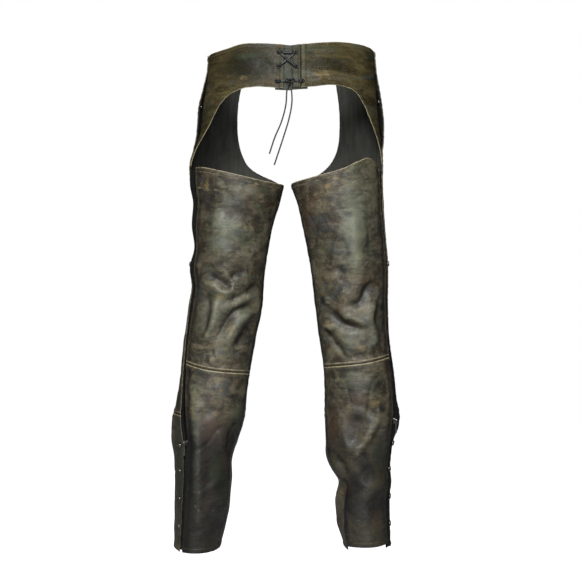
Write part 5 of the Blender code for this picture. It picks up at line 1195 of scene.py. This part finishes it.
def row_tree(name, ahead, sizes, item):
    """A tree that lays an item along guide lines, square to the hide, with the item's axis ahead on the line.

    sizes names the item's own inputs. item makes it from them: its instance, and what else places it.
    """
    tree = bpy.data.node_groups.new(name, "GeometryNodeTree")
    mix, sockets = Finish(name, tree), {}
    for label, kind in {"Geometry": "Geometry", "Pitch": "Float", **sizes, "Finish": "Material"}.items():
        sockets[label] = tree.interface.new_socket(label, in_out="INPUT", socket_type="NodeSocket" + kind)
    tree.interface.new_socket("Geometry", in_out="OUTPUT", socket_type="NodeSocketGeometry")
    entry = tree.nodes.new("NodeGroupInput")
    given = {label: Wire(mix, entry.outputs[label]) for label in sockets}
    line = mix.node("GeometryNodeMeshToCurve", None, {"Mesh": given["Geometry"]})
    spots = {"Curve": line, "Length": given["Pitch"]}
    spots = mix.node("GeometryNodeCurveToPoints", {"mode": "LENGTH"}, spots)
    tangent = Wire(mix, spots.socket.node.outputs["Tangent"])
    square = mix.node("GeometryNodeInputNamedAttribute", {"data_type": "FLOAT_VECTOR"}, {"Name": "outward"})
    lying = mix.node("FunctionNodeAlignRotationToVector", {"axis": ahead}, {"Vector": tangent})
    turning = {"axis": "Z", "pivot_axis": ahead}
    facing = mix.node("FunctionNodeAlignRotationToVector", turning, {"Rotation": lying, "Vector": square})
    laid = {"Points": spots, "Rotation": facing, **item(mix, given, facing)}
    laid = mix.node("GeometryNodeInstanceOnPoints", None, laid)
    real = mix.node("GeometryNodeRealizeInstances", None, {"Geometry": laid})
    done = mix.node("GeometryNodeSetMaterial", None, {"Geometry": real, "Material": given["Finish"]})
    mix.give(tree.nodes.new("NodeGroupOutput"), "Geometry", done)
    return tree, {label: socket.identifier for label, socket in sockets.items()}


def tooth(mix, given, facing):
    """A zip tooth: a round head on a flat stem, by turns from the left and from the right."""
    cube = mix.node("GeometryNodeMeshCube", None, {"Size": STEM})
    head = mix.node("GeometryNodeMeshCylinder", None, {"Vertices": 8, "Radius": HEAD_R, "Depth": HEAD_TALL})
    stem = mix.node("GeometryNodeTransform", None, {"Geometry": cube, "Translation": (STEM_ASIDE, 0, 0)})
    both = mix.tree.nodes.new("GeometryNodeJoinGeometry")
    for part in (stem, head):
        mix.tree.links.new(part.socket, both.inputs[0])
    index = mix.node("GeometryNodeInputIndex")
    half_turn = mix.node("ShaderNodeCombineXYZ", None, {"Z": index.maths("MODULO", index, 2.0) * math.pi})
    half_turn = mix.node("FunctionNodeEulerToRotation", None, {"Euler": half_turn})
    turned = {"Rotation": facing, "Rotate By": half_turn}
    turned = mix.node("FunctionNodeRotateRotation", {"rotation_space": "LOCAL"}, turned)
    return {"Instance": Wire(mix, both.outputs[0]), "Rotation": turned}


def settled(holder):
    """The plain mesh that an object's modifiers make."""
    bpy.context.view_layer.update()
    return bpy.data.meshes.new_from_object(holder.evaluated_get(bpy.context.evaluated_depsgraph_get()))


def grow(name, lines, row, values):
    """A plain mesh made by running a row's tree on lines of points with their outward directions."""
    points = np.concatenate([line for line, _ in lines])
    square = np.concatenate([direction for _, direction in lines])
    edges, first = [], 0
    for line, _ in lines:
        edges += [(first + i, first + i + 1) for i in range(len(line) - 1)]
        first += len(line)
    guide = bpy.data.meshes.new(name)
    guide.from_pydata(points.tolist(), edges, [])
    made = guide.attributes.new("outward", "FLOAT_VECTOR", "POINT")
    made.data.foreach_set("vector", square.astype(np.float32).ravel())
    holder = bpy.data.objects.new(name, guide)
    room.link(holder)
    step = holder.modifiers.new("grow", "NODES")
    step.node_group, identifiers = row
    for label, value in values.items():
        step[identifiers[label]] = value
    holder.data = settled(holder)
    holder.modifiers.remove(step)
    return holder


def frame_at(origin, out, up=(0, 0, 1)):
    """Axes of a small piece: X along the surface, Y up it and Z out of it."""
    z = Vector(out).normalized()
    x = Vector(up).cross(z).normalized()
    return Matrix.Translation(Vector(origin)) @ Matrix((x, z.cross(x), z)).transposed().to_4x4()


def plate(outlines, thick, soft, base, lift=0.0):
    """A flat piece cut to outlines, with rounded edges, in a small piece's own frame."""
    line = bpy.data.curves.new("plate", "CURVE")
    line.dimensions, line.fill_mode = "2D", "BOTH"
    line.extrude, line.bevel_depth, line.bevel_resolution, line.offset = thick / 2 - soft, soft, 2, -soft
    for corners in outlines:
        spline = line.splines.new("POLY")
        spline.points.add(len(corners) - 1)
        for target, (x, y) in zip(spline.points, corners):
            target.co = (x, y, 0, 1)
        spline.use_cyclic_u = True
    holder = bpy.data.objects.new("plate", line)
    room.link(holder)
    mesh = settled(holder)
    bpy.data.objects.remove(holder)
    mesh.transform(base @ Matrix.Translation((0, 0, lift)))
    return mesh


def rounded(wide, tall, corner, steps=5):
    """The outline of a rectangle with round corners."""
    outline = []
    for k, (sx, sy) in enumerate(((1, 1), (-1, 1), (-1, -1), (1, -1))):
        for turned in np.radians(90 * k + np.linspace(0, 90, steps)):
            x, y = sx * (wide / 2 - corner), sy * (tall / 2 - corner)
            outline.append((x + corner * math.cos(turned), y + corner * math.sin(turned)))
    return outline


def tube_mesh(points, radius, sides=12, taper=0.0):
    """A round cord or wire through points, closed at both ends."""
    points = np.array(points, float)
    ahead = np.gradient(points, axis=0)
    ahead /= np.linalg.norm(ahead, axis=1, keepdims=True)
    aside = np.cross(ahead[0], (0.31, 0.87, 0.38))
    rings, turned = [], np.linspace(0, 2 * math.pi, sides, endpoint=False)
    for point, way in zip(points, ahead):
        aside = aside - way * (aside @ way)
        aside /= np.linalg.norm(aside)
        other = np.cross(way, aside)
        rings.append(point + radius * (np.cos(turned)[:, None] * aside + np.sin(turned)[:, None] * other))
    first, last = points[0] - ahead[0] * radius * taper, points[-1] + ahead[-1] * radius * taper
    faces, count = [], len(points)
    for k in range(sides):
        n = (k + 1) % sides
        for i in range(count - 1):
            faces.append((i * sides + k, i * sides + n, (i + 1) * sides + n, (i + 1) * sides + k))
        faces.append((count * sides, n, k))
        faces.append((count * sides + 1, (count - 1) * sides + k, (count - 1) * sides + n))
    mesh = bpy.data.meshes.new("tube")
    mesh.from_pydata(np.concatenate(rings + [[first], [last]]).tolist(), [], faces)
    return mesh


def joined(name, node, meshes, finishes, body="root", sharp=40):
    """One piece from several meshes, each with its own finish, smooth but for its sharp edges."""
    bm = bmesh.new()
    for number, mesh in enumerate(meshes):
        before = len(bm.faces)
        bm.from_mesh(mesh)
        bm.faces.ensure_lookup_table()
        for face in bm.faces[before:]:
            face.material_index = min(number, len(finishes) - 1)
    bmesh.ops.remove_doubles(bm, verts=bm.verts, dist=1e-6)
    bmesh.ops.recalc_face_normals(bm, faces=bm.faces)
    whole = bpy.data.meshes.new(name)
    bm.to_mesh(whole)
    bm.free()
    for finish in finishes:
        whole.materials.append(finish)
    whole.shade_smooth()
    whole.set_sharp_from_angle(angle=math.radians(sharp))
    piece = bpy.data.objects.new(name, whole)
    room.link(piece)
    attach(piece, body)
    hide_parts(node)
    return piece


def mirrored(half):
    """An outline from its half on one side of the middle line."""
    return half + [(-x, y) for x, y in reversed(half)]


def zip_teeth(side):
    """The closed teeth, from just above the slider to the top stop."""
    height = np.arange(SLIDER_HEIGHT[side] + 0.004, CHAIN_TOP, 0.004)
    middle = zip_angle(side, height)
    line = placed(side, middle, height, CHAIN_THICK / 2 - HIDE), outward(side, middle, height)
    piece = grow("zip_teeth_" + side, [line], TEETH, {"Pitch": TOOTH_PITCH, "Finish": GUNMETAL})
    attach(piece, "root")
    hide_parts("zip_chain_" + side)


def zip_slider(side, base):
    """Two shields on a core, and the bail that the pull tab hangs from."""
    x, y = SLIDER_WIDE / 2, SLIDER_TALL / 2
    shield = mirrored([(x, y * 0.75), (x * 0.8, y), (x * 0.25, y * 0.8)])
    shield = [shield + [(-x, 0), (-x * 0.72, -y), (x * 0.72, -y), (x, 0)]]
    lower = plate(shield, SHIELD_THICK, 0.0003, base, SHIELD_THICK / 2)
    upper = plate(shield, SHIELD_THICK, 0.0003, base, SLIDER_THICK - SHIELD_THICK / 2)
    core = plate([rounded(0.0030, 0.0080, 0.0010)], SLIDER_THICK - 0.0008, 0.0002, base, SLIDER_THICK / 2)
    arch = []
    for turned in np.radians(np.linspace(0, 180, 15)):
        rise = SLIDER_THICK + (BAIL_HIGH - BAIL_WIRE) * math.sin(turned) ** 0.6
        arch.append(base @ Vector((0, -BAIL_TALL / 2 * math.cos(turned), rise)))
    parts = [lower, upper, core, tube_mesh(arch, BAIL_WIRE, 10)]
    joined("slider_" + side, "zip_slider_" + side, parts, [NICKEL])


def pull_tab(side, hinge):
    """A long flat tab with a square eye over the bail and a raised rib."""
    eye, neck, end = TAB_WIDE / 2, 0.0027, TAB_STRIP - TAB_LONG
    outline = [(-eye + 0.0005, TAB_STRIP), (-eye, TAB_STRIP - 0.0005), (-eye, -0.0060), (-neck, -0.0085)]
    outline += [(-neck, end + 0.0012), (-neck + 0.0004, end + 0.0004), (-neck + 0.0012, end)]
    hole = [(-0.0019, -TAB_STRIP), (0.0019, -TAB_STRIP), (0.0019, -0.0056), (-0.0019, -0.0056)]
    blade = plate([mirrored(outline), hole], TAB_THICK, 0.0002, hinge)
    ribbed = hinge @ Matrix.Translation((0, -0.0165, 0))
    rib = plate([rounded(0.0026, 0.0110, 0.0012)], TAB_THICK + 0.0005, 0.0002, ribbed)
    joined("pull_" + side, "pull_tab_" + side, [blade, rib], [NICKEL], "pull_" + side)


TEETH = row_tree("zip_teeth", "Y", {}, tooth)
for side in SIDES:
    ends = level(TAPE_LOW), level(TAPE_TOP)
    panel = Panel(side, tape_span, *ends, np.linspace(0, 1, 44), np.linspace(0, 1, 320))
    out = tape_out(side, panel.angle, panel.height)
    cloth_piece("zip_tape_" + side, "_woven", panel, out, 23)
    zip_teeth(side)
    height = np.array(SLIDER_HEIGHT[side])
    middle = zip_angle(side, height)
    upright = outward(side, middle, height) * (1, 1, 0)
    base = frame_at(placed(side, middle, height, CHAIN_THICK - HIDE + 2 * GAP), upright)
    zip_slider(side, base)
    pull_tab(side, base @ Matrix.Translation((0, 0.0005, SLIDER_THICK + HINGE_HIGH)))


# ---- Snaps and rivets ----
# Four ring snaps close the flap beside the zip on each lower leg, a rivet holds the front panel's edge higher
# up, and a smaller snap sits inside each hip pocket's mouth. Turned and plated brass.

SNAP_R, SNAP_HIGH, HIP_SNAP = 0.0055, 0.0024, 0.7
SNAP_HEIGHTS = (0.218, 0.165, 0.107, 0.050)
SNAP_ANGLES = {"left": (47, 43, 42, 42), "right": (16, 20, 17, 17)}
RIVET_HEIGHT, RIVET_FORWARD = 0.592, 6
HIP_SNAP_HEIGHT, HIP_SNAP_ANGLE = {"left": 0.920, "right": 0.930}, 2.5
# The profile of a snap's cap, from its middle to its rim: distance out, height, in shares of its size
SNAP_PROFILE = (
    (0.00, 0.62), (0.30, 0.60), (0.46, 0.50), (0.52, 0.42), (0.58, 0.44), (0.66, 0.78),
    (0.76, 0.97), (0.86, 0.98), (0.95, 0.80), (1.00, 0.45), (1.00, 0.12), (0.95, 0.00),
)


def seat(side, angle, height, out):
    """A frame on the folded face. out gives the distance outside it at an angle and height."""

    def at(d_angle, d_height):
        where = np.array(angle + d_angle, float), np.array(height + d_height, float)
        return placed(side, *where, out(*where))

    square = np.cross(at(2, 0) - at(-2, 0), at(0, 0.006) - at(0, -0.006)) * SIDES[side]
    return frame_at(at(0, 0), square, at(0, 0.006) - at(0, -0.006))


def turned_mesh(profile, base, steps=28):
    """A shape turned about Z from its profile, in a small piece's own frame."""
    bm = bmesh.new()
    line = [bm.verts.new((out, 0, high)) for out, high in profile]
    edges = [bm.edges.new(pair) for pair in zip(line, line[1:])]
    bmesh.ops.spin(bm, geom=line + edges, axis=(0, 0, 1), cent=(0, 0, 0), angle=2 * math.pi, steps=steps)
    bmesh.ops.remove_doubles(bm, verts=bm.verts, dist=1e-6)
    bottom = [edge for edge in bm.edges if edge.is_boundary]
    bmesh.ops.contextual_create(bm, geom=bottom)
    mesh = bpy.data.meshes.new("turned")
    bm.to_mesh(mesh)
    bm.free()
    mesh.transform(base)
    return mesh


def snap(node, base, size=1.0):
    """A snap's ring cap with its dimpled middle."""
    profile = [(out * SNAP_R * size, high * SNAP_HIGH * size) for out, high in SNAP_PROFILE]
    joined(node + "_cap", node, [turned_mesh(profile, base)], [SNAP_NICKEL], sharp=60)


def resting(out):
    """A distance outside the form that is the same everywhere, for a seat."""
    return lambda angle, height: np.full_like(angle, out)


for side in SIDES:
    for number, (height, angle) in enumerate(zip(SNAP_HEIGHTS, SNAP_ANGLES[side]), 1):

        def on_flap(at_angle, at_height):
            return tape_out(side, at_angle, at_height) + 3 * GAP

        on_panel = angle < read(LEGS[side], FRONT_EDGE, height)
        snap(f"leg_snap_{side}_{number}", seat(side, angle, height, resting(GAP) if on_panel else on_flap))
    rivet_angle = read(LEGS[side], FRONT_EDGE, RIVET_HEIGHT) - RIVET_FORWARD
    snap("side_rivet_" + side, seat(side, rivet_angle, RIVET_HEIGHT, resting(GAP)))

    def inner_face(angle, height):
        return lip_out(side, angle, height) - HIDE - CLOTH - 4 * GAP

    inwards = seat(side, HIP_SNAP_ANGLE, HIP_SNAP_HEIGHT[side], inner_face) @ Matrix.Rotation(math.pi, 4, "Y")
    snap("hip_snap_" + side, inwards, HIP_SNAP)


# ---- Waist belt ----
# The chaps' own belt at the front, of the same hide, stitched along both edges. The left strap holds a wire
# buckle, and the right one runs through it and through a leather keeper.

BELT_TALL, BELT_THICK, BELT_DROP, BELT_OUT = 0.038, 0.0020, 0.002, 0.0043
BELT_HIP, STRAP_TIP, STRAP_TAPER = -12, 0.075, 0.015
STRAP_RISE = ((-0.012, 0.0043), (0.005, 0.0072), (0.022, 0.0072), (0.030, 0.0068))  # over the buckle: x, out
BUCKLE_WIRE, PRONG_WIRE = 0.0015, 0.0011
HEEL_X, FAR_X, HEEL_OUT, FAR_OUT, RAIL = 0.0145, -0.0240, 0.0033, 0.0063, 0.0209
HOLES, HOLE_DEPTH = ((0.0091, 0.0034), (0.034, 0.0022), (0.059, 0.0022)), 0.012  # the prong's: x, radius
KEEPER_X, KEEPER_WIDE, KEEPER_THICK, KEEPER_LOOSE = 0.045, 0.010, 0.0012, 0.0005
BELT_STITCH = 0.0040
STRAP_CUTS = {"left": (0.215, 0.038, 0.0079), "right": (0.280, 0.038, 0.0104)}


def belt_point(angle, up, out):
    """Points on the belt's line round the front: up from its middle and out from the hips' oval."""
    angle, up, out = np.broadcast_arrays(np.asarray(angle, float), up, out)

    def on(side, own):
        return placed(side, own, read(WAIST_TOP[side], 1, own) - BELT_DROP - BELT_TALL / 2 + up, out)

    return either(angle, on)


def belt_frame(angle, out):
    """A frame on the belt's middle line, square to the belt."""
    point = belt_point(angle, 0, out)
    return frame_at(point, belt_point(angle, 0, out + 0.01) - point)


def punched(strap, x, radius, out):
    """Cuts a round hole through a strap, at a distance x from the middle plane."""
    cut = bpy.data.meshes.new("hole")
    bm = bmesh.new()
    bmesh.ops.create_cone(bm, cap_ends=True, segments=20, radius1=radius, radius2=radius, depth=HOLE_DEPTH)
    bm.to_mesh(cut)
    bm.free()
    cut.transform(belt_frame(-turn_at(x), out))
    punch = bpy.data.objects.new("punch", cut)
    room.link(punch)
    strap.modifiers.new("punch", "BOOLEAN").object = punch
    mesh = settled(strap)
    strap.modifiers.clear()
    strap.data = mesh
    bpy.data.objects.remove(punch)


rise = np.array([(-turn_at(x), out) for x, out in STRAP_RISE])
tip, taper_start = -turn_at(STRAP_TIP), -turn_at(STRAP_TIP - STRAP_TAPER)
for side, start, end in (
    ("left", BELT_HIP, -turn_at(HEEL_X + BUCKLE_WIRE + GAP)), ("right", -180 - BELT_HIP, tip),
):
    angle, share = np.meshgrid(np.linspace(start, end, 150), np.linspace(-0.5, 0.5, 24))
    name, right, cut = "belt_" + side, side == "right", STRAP_CUTS[side]
    taper = 1 - 0.65 * np.clip((angle - taper_start) / (tip - taper_start), 0, None) ** 2 if right else 1.0
    out = np.interp(angle, rise[:, 0], rise[:, 1]) if right else BELT_OUT
    flat = belt_point(angle, share * BELT_TALL * taper, out)
    _, _, under, above = borders(flat)
    dip = bands((under, 0.0011, 0.0005), (above, 0.0011, 0.0005))
    dip += bands((under - BELT_STITCH, 0.0009, 0.0003), (above - BELT_STITCH, 0.0009, 0.0003))
    grid = flat - normals_of(flat, not right) * dip[..., None]
    marks = {"pale": bands((under, 0.0018, 0.7), (above, 0.0018, 0.7)), "rust": 0.2}
    finishes = (HIDE_GRAIN, HIDE_INSIDE, HIDE_CUT)
    strap = sheet_of(name, "_strap", grid, not right, finishes, BELT_THICK, marks)
    if right:
        for x, radius in HOLES:
            punched(strap, x, radius, float(np.interp(-turn_at(x), rise[:, 0], rise[:, 1])))
    rows = (LOW, BELT_STITCH, 0.01, 0.94), (TOP, BELT_STITCH, 0.01, 0.94)
    sew("belt", grid, not right, *rows, reach=borders(flat))

heel, far = -turn_at(HEEL_X), -turn_at(FAR_X)
in_heel, in_far = -turn_at(HEEL_X - 0.0009), -turn_at(FAR_X + 0.0009)
bar, corner = RAIL - 0.0045, RAIL - 0.0011
upper = [(heel, 0, HEEL_OUT), (heel, bar, HEEL_OUT), (in_heel, corner, HEEL_OUT + 0.0001)]
for share in (0.12, 0.35, 0.65, 0.88):
    upper.append((heel + (far - heel) * share, RAIL, HEEL_OUT + (FAR_OUT - HEEL_OUT) * share))
upper += [(in_far, corner, FAR_OUT), (far, bar, FAR_OUT), (far, 0, FAR_OUT)]
ring = upper + [(angle, -up, out) for angle, up, out in reversed(upper[:-1])]
ring = through([belt_point(*stop) for stop in ring], 5)
joined("buckle_frame_wire", "buckle_frame", [tube_mesh(ring, BUCKLE_WIRE, 14)], [NICKEL])

PRONG = (  # x, out
    (0.0114, 0.0033), (0.0106, 0.0048), (0.0088, 0.0066), (0.0060, 0.0085), (0.0020, 0.0092),
    (-0.0080, 0.0092), (-0.0180, 0.0094), (-0.0245, 0.0094), (-0.0280, 0.0090),
)
route = through([belt_point(-turn_at(x), 0, out) for x, out in PRONG], 5)
joined("buckle_prong_wire", "buckle_prong", [tube_mesh(route, PRONG_WIRE, 12, taper=0.4)], [NICKEL])

low, high = BELT_OUT - BELT_THICK - KEEPER_LOOSE, STRAP_RISE[-1][1] + KEEPER_LOOSE
base = belt_frame(-turn_at(KEEPER_X), (low + high) / 2) @ Matrix.Rotation(math.pi / 2, 4, "Y")
inside = (high - low, BELT_TALL + 2 * KEEPER_LOOSE)
outside = (inside[0] + 2 * KEEPER_THICK, inside[1] + 2 * KEEPER_THICK)
loop = plate([rounded(*outside, 0.0016), rounded(*inside, 0.0006)], KEEPER_WIDE, 0.0003, base)
joined("belt_keeper_loop", "belt_keeper", [loop], [HIDE_GRAIN])


# ---- Lacing ----
# A round black leather lace through six plated eyelets: a straight bar at the top, one crossing below it, and
# a knot on the lower pair, from which the two ends hang free down the seat opening.

EYELET_R, EYELET_WIRE = 0.0033, 0.0011
LACE_R = 0.0015
EYELETS = (  # x, height
    (0.0212, 1.0130), (0.0208, 0.9840), (0.0238, 0.9540),
    (-0.0140, 1.0116), (-0.0148, 0.9830), (-0.0266, 0.9540),
)
# A lace's way out of an eyelet's hole and over its rim: away, out
LACE_RIM = ((0.0, 0.0019), (0.0010, 0.0036), (0.0033, 0.0046), (0.0062, 0.0033), (0.0090, 0.0019))
KNOT_CENTRE, KNOT_SIZE = (-0.0022, 0.9535), (0.0090, 0.0060, 0.0040)
TAILS = {  # the hanging ends' routes: x, y, height
    "left": (
        (0.0014, 0.1240, 0.9484), (0.0040, 0.1243, 0.9354), (0.0060, 0.1243, 0.9075),
        (0.0159, 0.1240, 0.8697), (0.0279, 0.1236, 0.8418), (0.0390, 0.1232, 0.8087),
    ),
    "right": (
        (-0.0044, 0.1240, 0.9484), (-0.0050, 0.1243, 0.9354), (-0.0060, 0.1243, 0.9155),
        (0.0006, 0.1240, 0.8756), (0.0090, 0.1236, 0.8478), (0.0211, 0.1232, 0.8109),
        (0.0293, 0.1230, 0.7864),
    ),
}


LACE = mottled("black_lace", "040505", "1e2223", 260, 4, 0.5, raised=0.0006)
# A black disc in each eyelet's hole: painted shade.
HOLE_SHADE = mottled("eyelet_hole_shade", "000000", "1a1a1a", 300, 2, 1.0)


def back_point(x, height, out):
    """A point over the yoke, at a distance x from the middle plane."""
    height, out = np.array(height), np.array(out)
    return either(turn_at(np.array(x, float)), lambda side, own: placed(side, own, height, out))


def seat_at_back(x, height, out):
    """A frame on the yoke at a distance x from the middle plane."""
    angle = float(turn_at(x))
    side, own = ("left", angle) if angle <= 90 else ("right", 180 - angle)
    return seat(side, own, height, resting(out))


def out_of_eyelet(start, end):
    """A lace's way out of an eyelet's hole and over its rim, towards an end: x, height, out."""
    away = Vector((end[0] - start[0], end[1] - start[1])).normalized()
    return [(start[0] + away.x * far, start[1] + away.y * far, out) for far, out in LACE_RIM]


def eased(points, pitch):
    """Points about pitch apart on a smooth curve through the given ones."""
    points = np.array(points)
    reach = np.concatenate([[0], np.cumsum(np.linalg.norm(np.diff(points, axis=0), axis=1))])
    slopes = np.gradient(points, reach, axis=0)
    stops = np.linspace(0, reach[-1], max(round(reach[-1] / pitch), 2) + 1)
    i = np.clip(np.searchsorted(reach, stops, side="right") - 1, 0, len(points) - 2)
    wide = (reach[i + 1] - reach[i])[:, None]
    t = (stops - reach[i])[:, None] / wide
    return between(points[i], points[i + 1], slopes[i], slopes[i + 1], wide, t)


def lace(name, stops):
    """A stretch of doubled lace over the yoke: two strands side by side, closed together at both eyelets."""
    middle = np.array(stops, float)
    ahead = np.gradient(middle[:, :2], axis=0)
    aside = np.stack([-ahead[:, 1], ahead[:, 0]], axis=1) / np.linalg.norm(ahead, axis=1, keepdims=True)
    share = np.linspace(0, 1, len(middle))
    apart = LACE_R * 0.95 * smooth(np.minimum(share, 1 - share) / 0.3)[:, None]
    strands = []
    for way in (-1, 1):
        moved = np.concatenate([middle[:, :2] + aside * apart * way, middle[:, 2:]], axis=1)
        strands.append(tube_mesh(through([back_point(*stop) for stop in moved], 5), LACE_R, 12, taper=0.5))
    joined(name + "_cord", name, strands, [LACE])


for number, (x, height) in enumerate(EYELETS, 1):
    base = seat_at_back(x, height, GAP)
    turned = np.radians(np.linspace(-100, 260, 15))
    flange = [(EYELET_R + EYELET_WIRE * math.cos(t), EYELET_WIRE * (1 + 0.8 * math.sin(t))) for t in turned]
    # A black disc closes the hole: painted shade.
    shade_disc = [(0.0, -0.0002), (EYELET_R, -0.0002), (EYELET_R + 0.0002, 0.0002)]
    name, parts = f"eyelet_{number}", [turned_mesh(flange, base), turned_mesh(shade_disc, base)]
    joined(name + "_ring", name, parts, [BLACKENED, HOLE_SHADE])

one, two, three, four, five, six = EYELETS
lace("lace_top", out_of_eyelet(one, four) + out_of_eyelet(four, one)[::-1])
low, over = LACE_R + GAP, 3 * LACE_R + 2 * GAP
clear = EYELET_R + EYELET_WIRE + 2 * GAP  # a crossed lace dips under beside the next eyelet's rim


def short_of(start, end):
    """Where a lace on its way to an eyelet stops, clear of its rim: x, height."""
    run = Vector((start[0] - end[0], start[1] - end[1])).normalized() * clear
    return end[0] + run.x, end[1] + run.y


lace("lace_cross_under", out_of_eyelet(two, four) + [(*short_of(two, four), low)])
stop = short_of(five, one)
hump = [
    (five[0] + (stop[0] - five[0]) * share, five[1] + (stop[1] - five[1]) * share, out)
    for share, out in ((0.36, over), (0.56, over), (0.74, low + 0.0008))
]
lace("lace_cross_over", out_of_eyelet(five, one)[:3] + hump + [(*stop, low)])

knot_x, knot_height = KNOT_CENTRE
wide, tall, deep = KNOT_SIZE
KNOT_PULLED = 1.15  # the knot's loops stand a little proud of its middle
for name, start, reach in (("lace_low_left", three, wide), ("lace_low_right", six, -wide)):
    end = (knot_x + reach * 1.06, knot_height)
    lace(name, out_of_eyelet(start, end) + [(*end, 0.0026)])

base = seat_at_back(knot_x, knot_height, deep + GAP)
turned = np.linspace(0, 2 * math.pi, 61)
loops = np.stack(
    [
        KNOT_PULLED * (wide - LACE_R) * (np.sin(turned) + 2 * np.sin(2 * turned)) / 2.8,
        KNOT_PULLED * (tall - LACE_R) * (np.cos(turned) - 2 * np.cos(2 * turned)) / 2.6,
        (deep - LACE_R) * -np.sin(3 * turned),
    ],
    axis=-1,
)
knot = [tube_mesh([base @ Vector(point) for point in loops], LACE_R, 12)]
joined("lace_knot_cord", "lace_knot", knot, [LACE])

for side, route in TAILS.items():
    name, points = "lace_tail_" + side, [(x, y, height - WAIST) for x, y, height in route]
    path = eased(points, 0.003)
    tail = joined(name + "_cord", name, [tube_mesh(path, LACE_R, 12, taper=0.6)], [LACE])


# ---- Sewing ----
# Waxed thread, about 0.7 mm thick, in lockstitches of 3.6 mm: tan on the seams and hems, dark brown along the
# zips. Each row lies in the dip that it draws into the hide.

STITCH_PITCH, STITCH_LONG, THREAD = 0.0036, 0.0030, 0.0007
THREAD_TAN = mottled("thread_tan", "1c1913", "857753", 60, 3, 0.6)
THREAD_BROWN = mottled("thread_brown", "1c1913", "2c271d", 60, 3, 0.6)


def stitch(mix, given, facing):
    """A stitch: a long smooth bead, not quite as long as the next one."""
    ball = mix.node("GeometryNodeMeshUVSphere", None, {"Segments": 6, "Rings": 4, "Radius": 0.5})
    size = {"X": given["Long"], "Y": given["Thread"], "Z": given["Thread"]}
    size = mix.node("ShaderNodeCombineXYZ", None, size)
    bead = mix.node("GeometryNodeTransform", None, {"Geometry": ball, "Scale": size})
    bead = mix.node("GeometryNodeSetShadeSmooth", None, {"Geometry": bead})
    spread = {2: 0.86, 3: 1.1, "Seed": given["Seed"]}
    uneven = mix.node("FunctionNodeRandomValue", {"data_type": "FLOAT"}, spread, output=1)
    return {"Instance": bead, "Scale": uneven}


STITCHES = row_tree("stitches", "X", {"Long": "Float", "Thread": "Float", "Seed": "Int"}, stitch)
for group, lines in sewing.items():
    finish = THREAD_BROWN if group == "zips" else THREAD_TAN
    values = {"Pitch": STITCH_PITCH, "Long": STITCH_LONG, "Thread": THREAD, "Seed": 5, "Finish": finish}
    piece = grow("stitches_" + group, lines, STITCHES, values)
    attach(piece, "root")
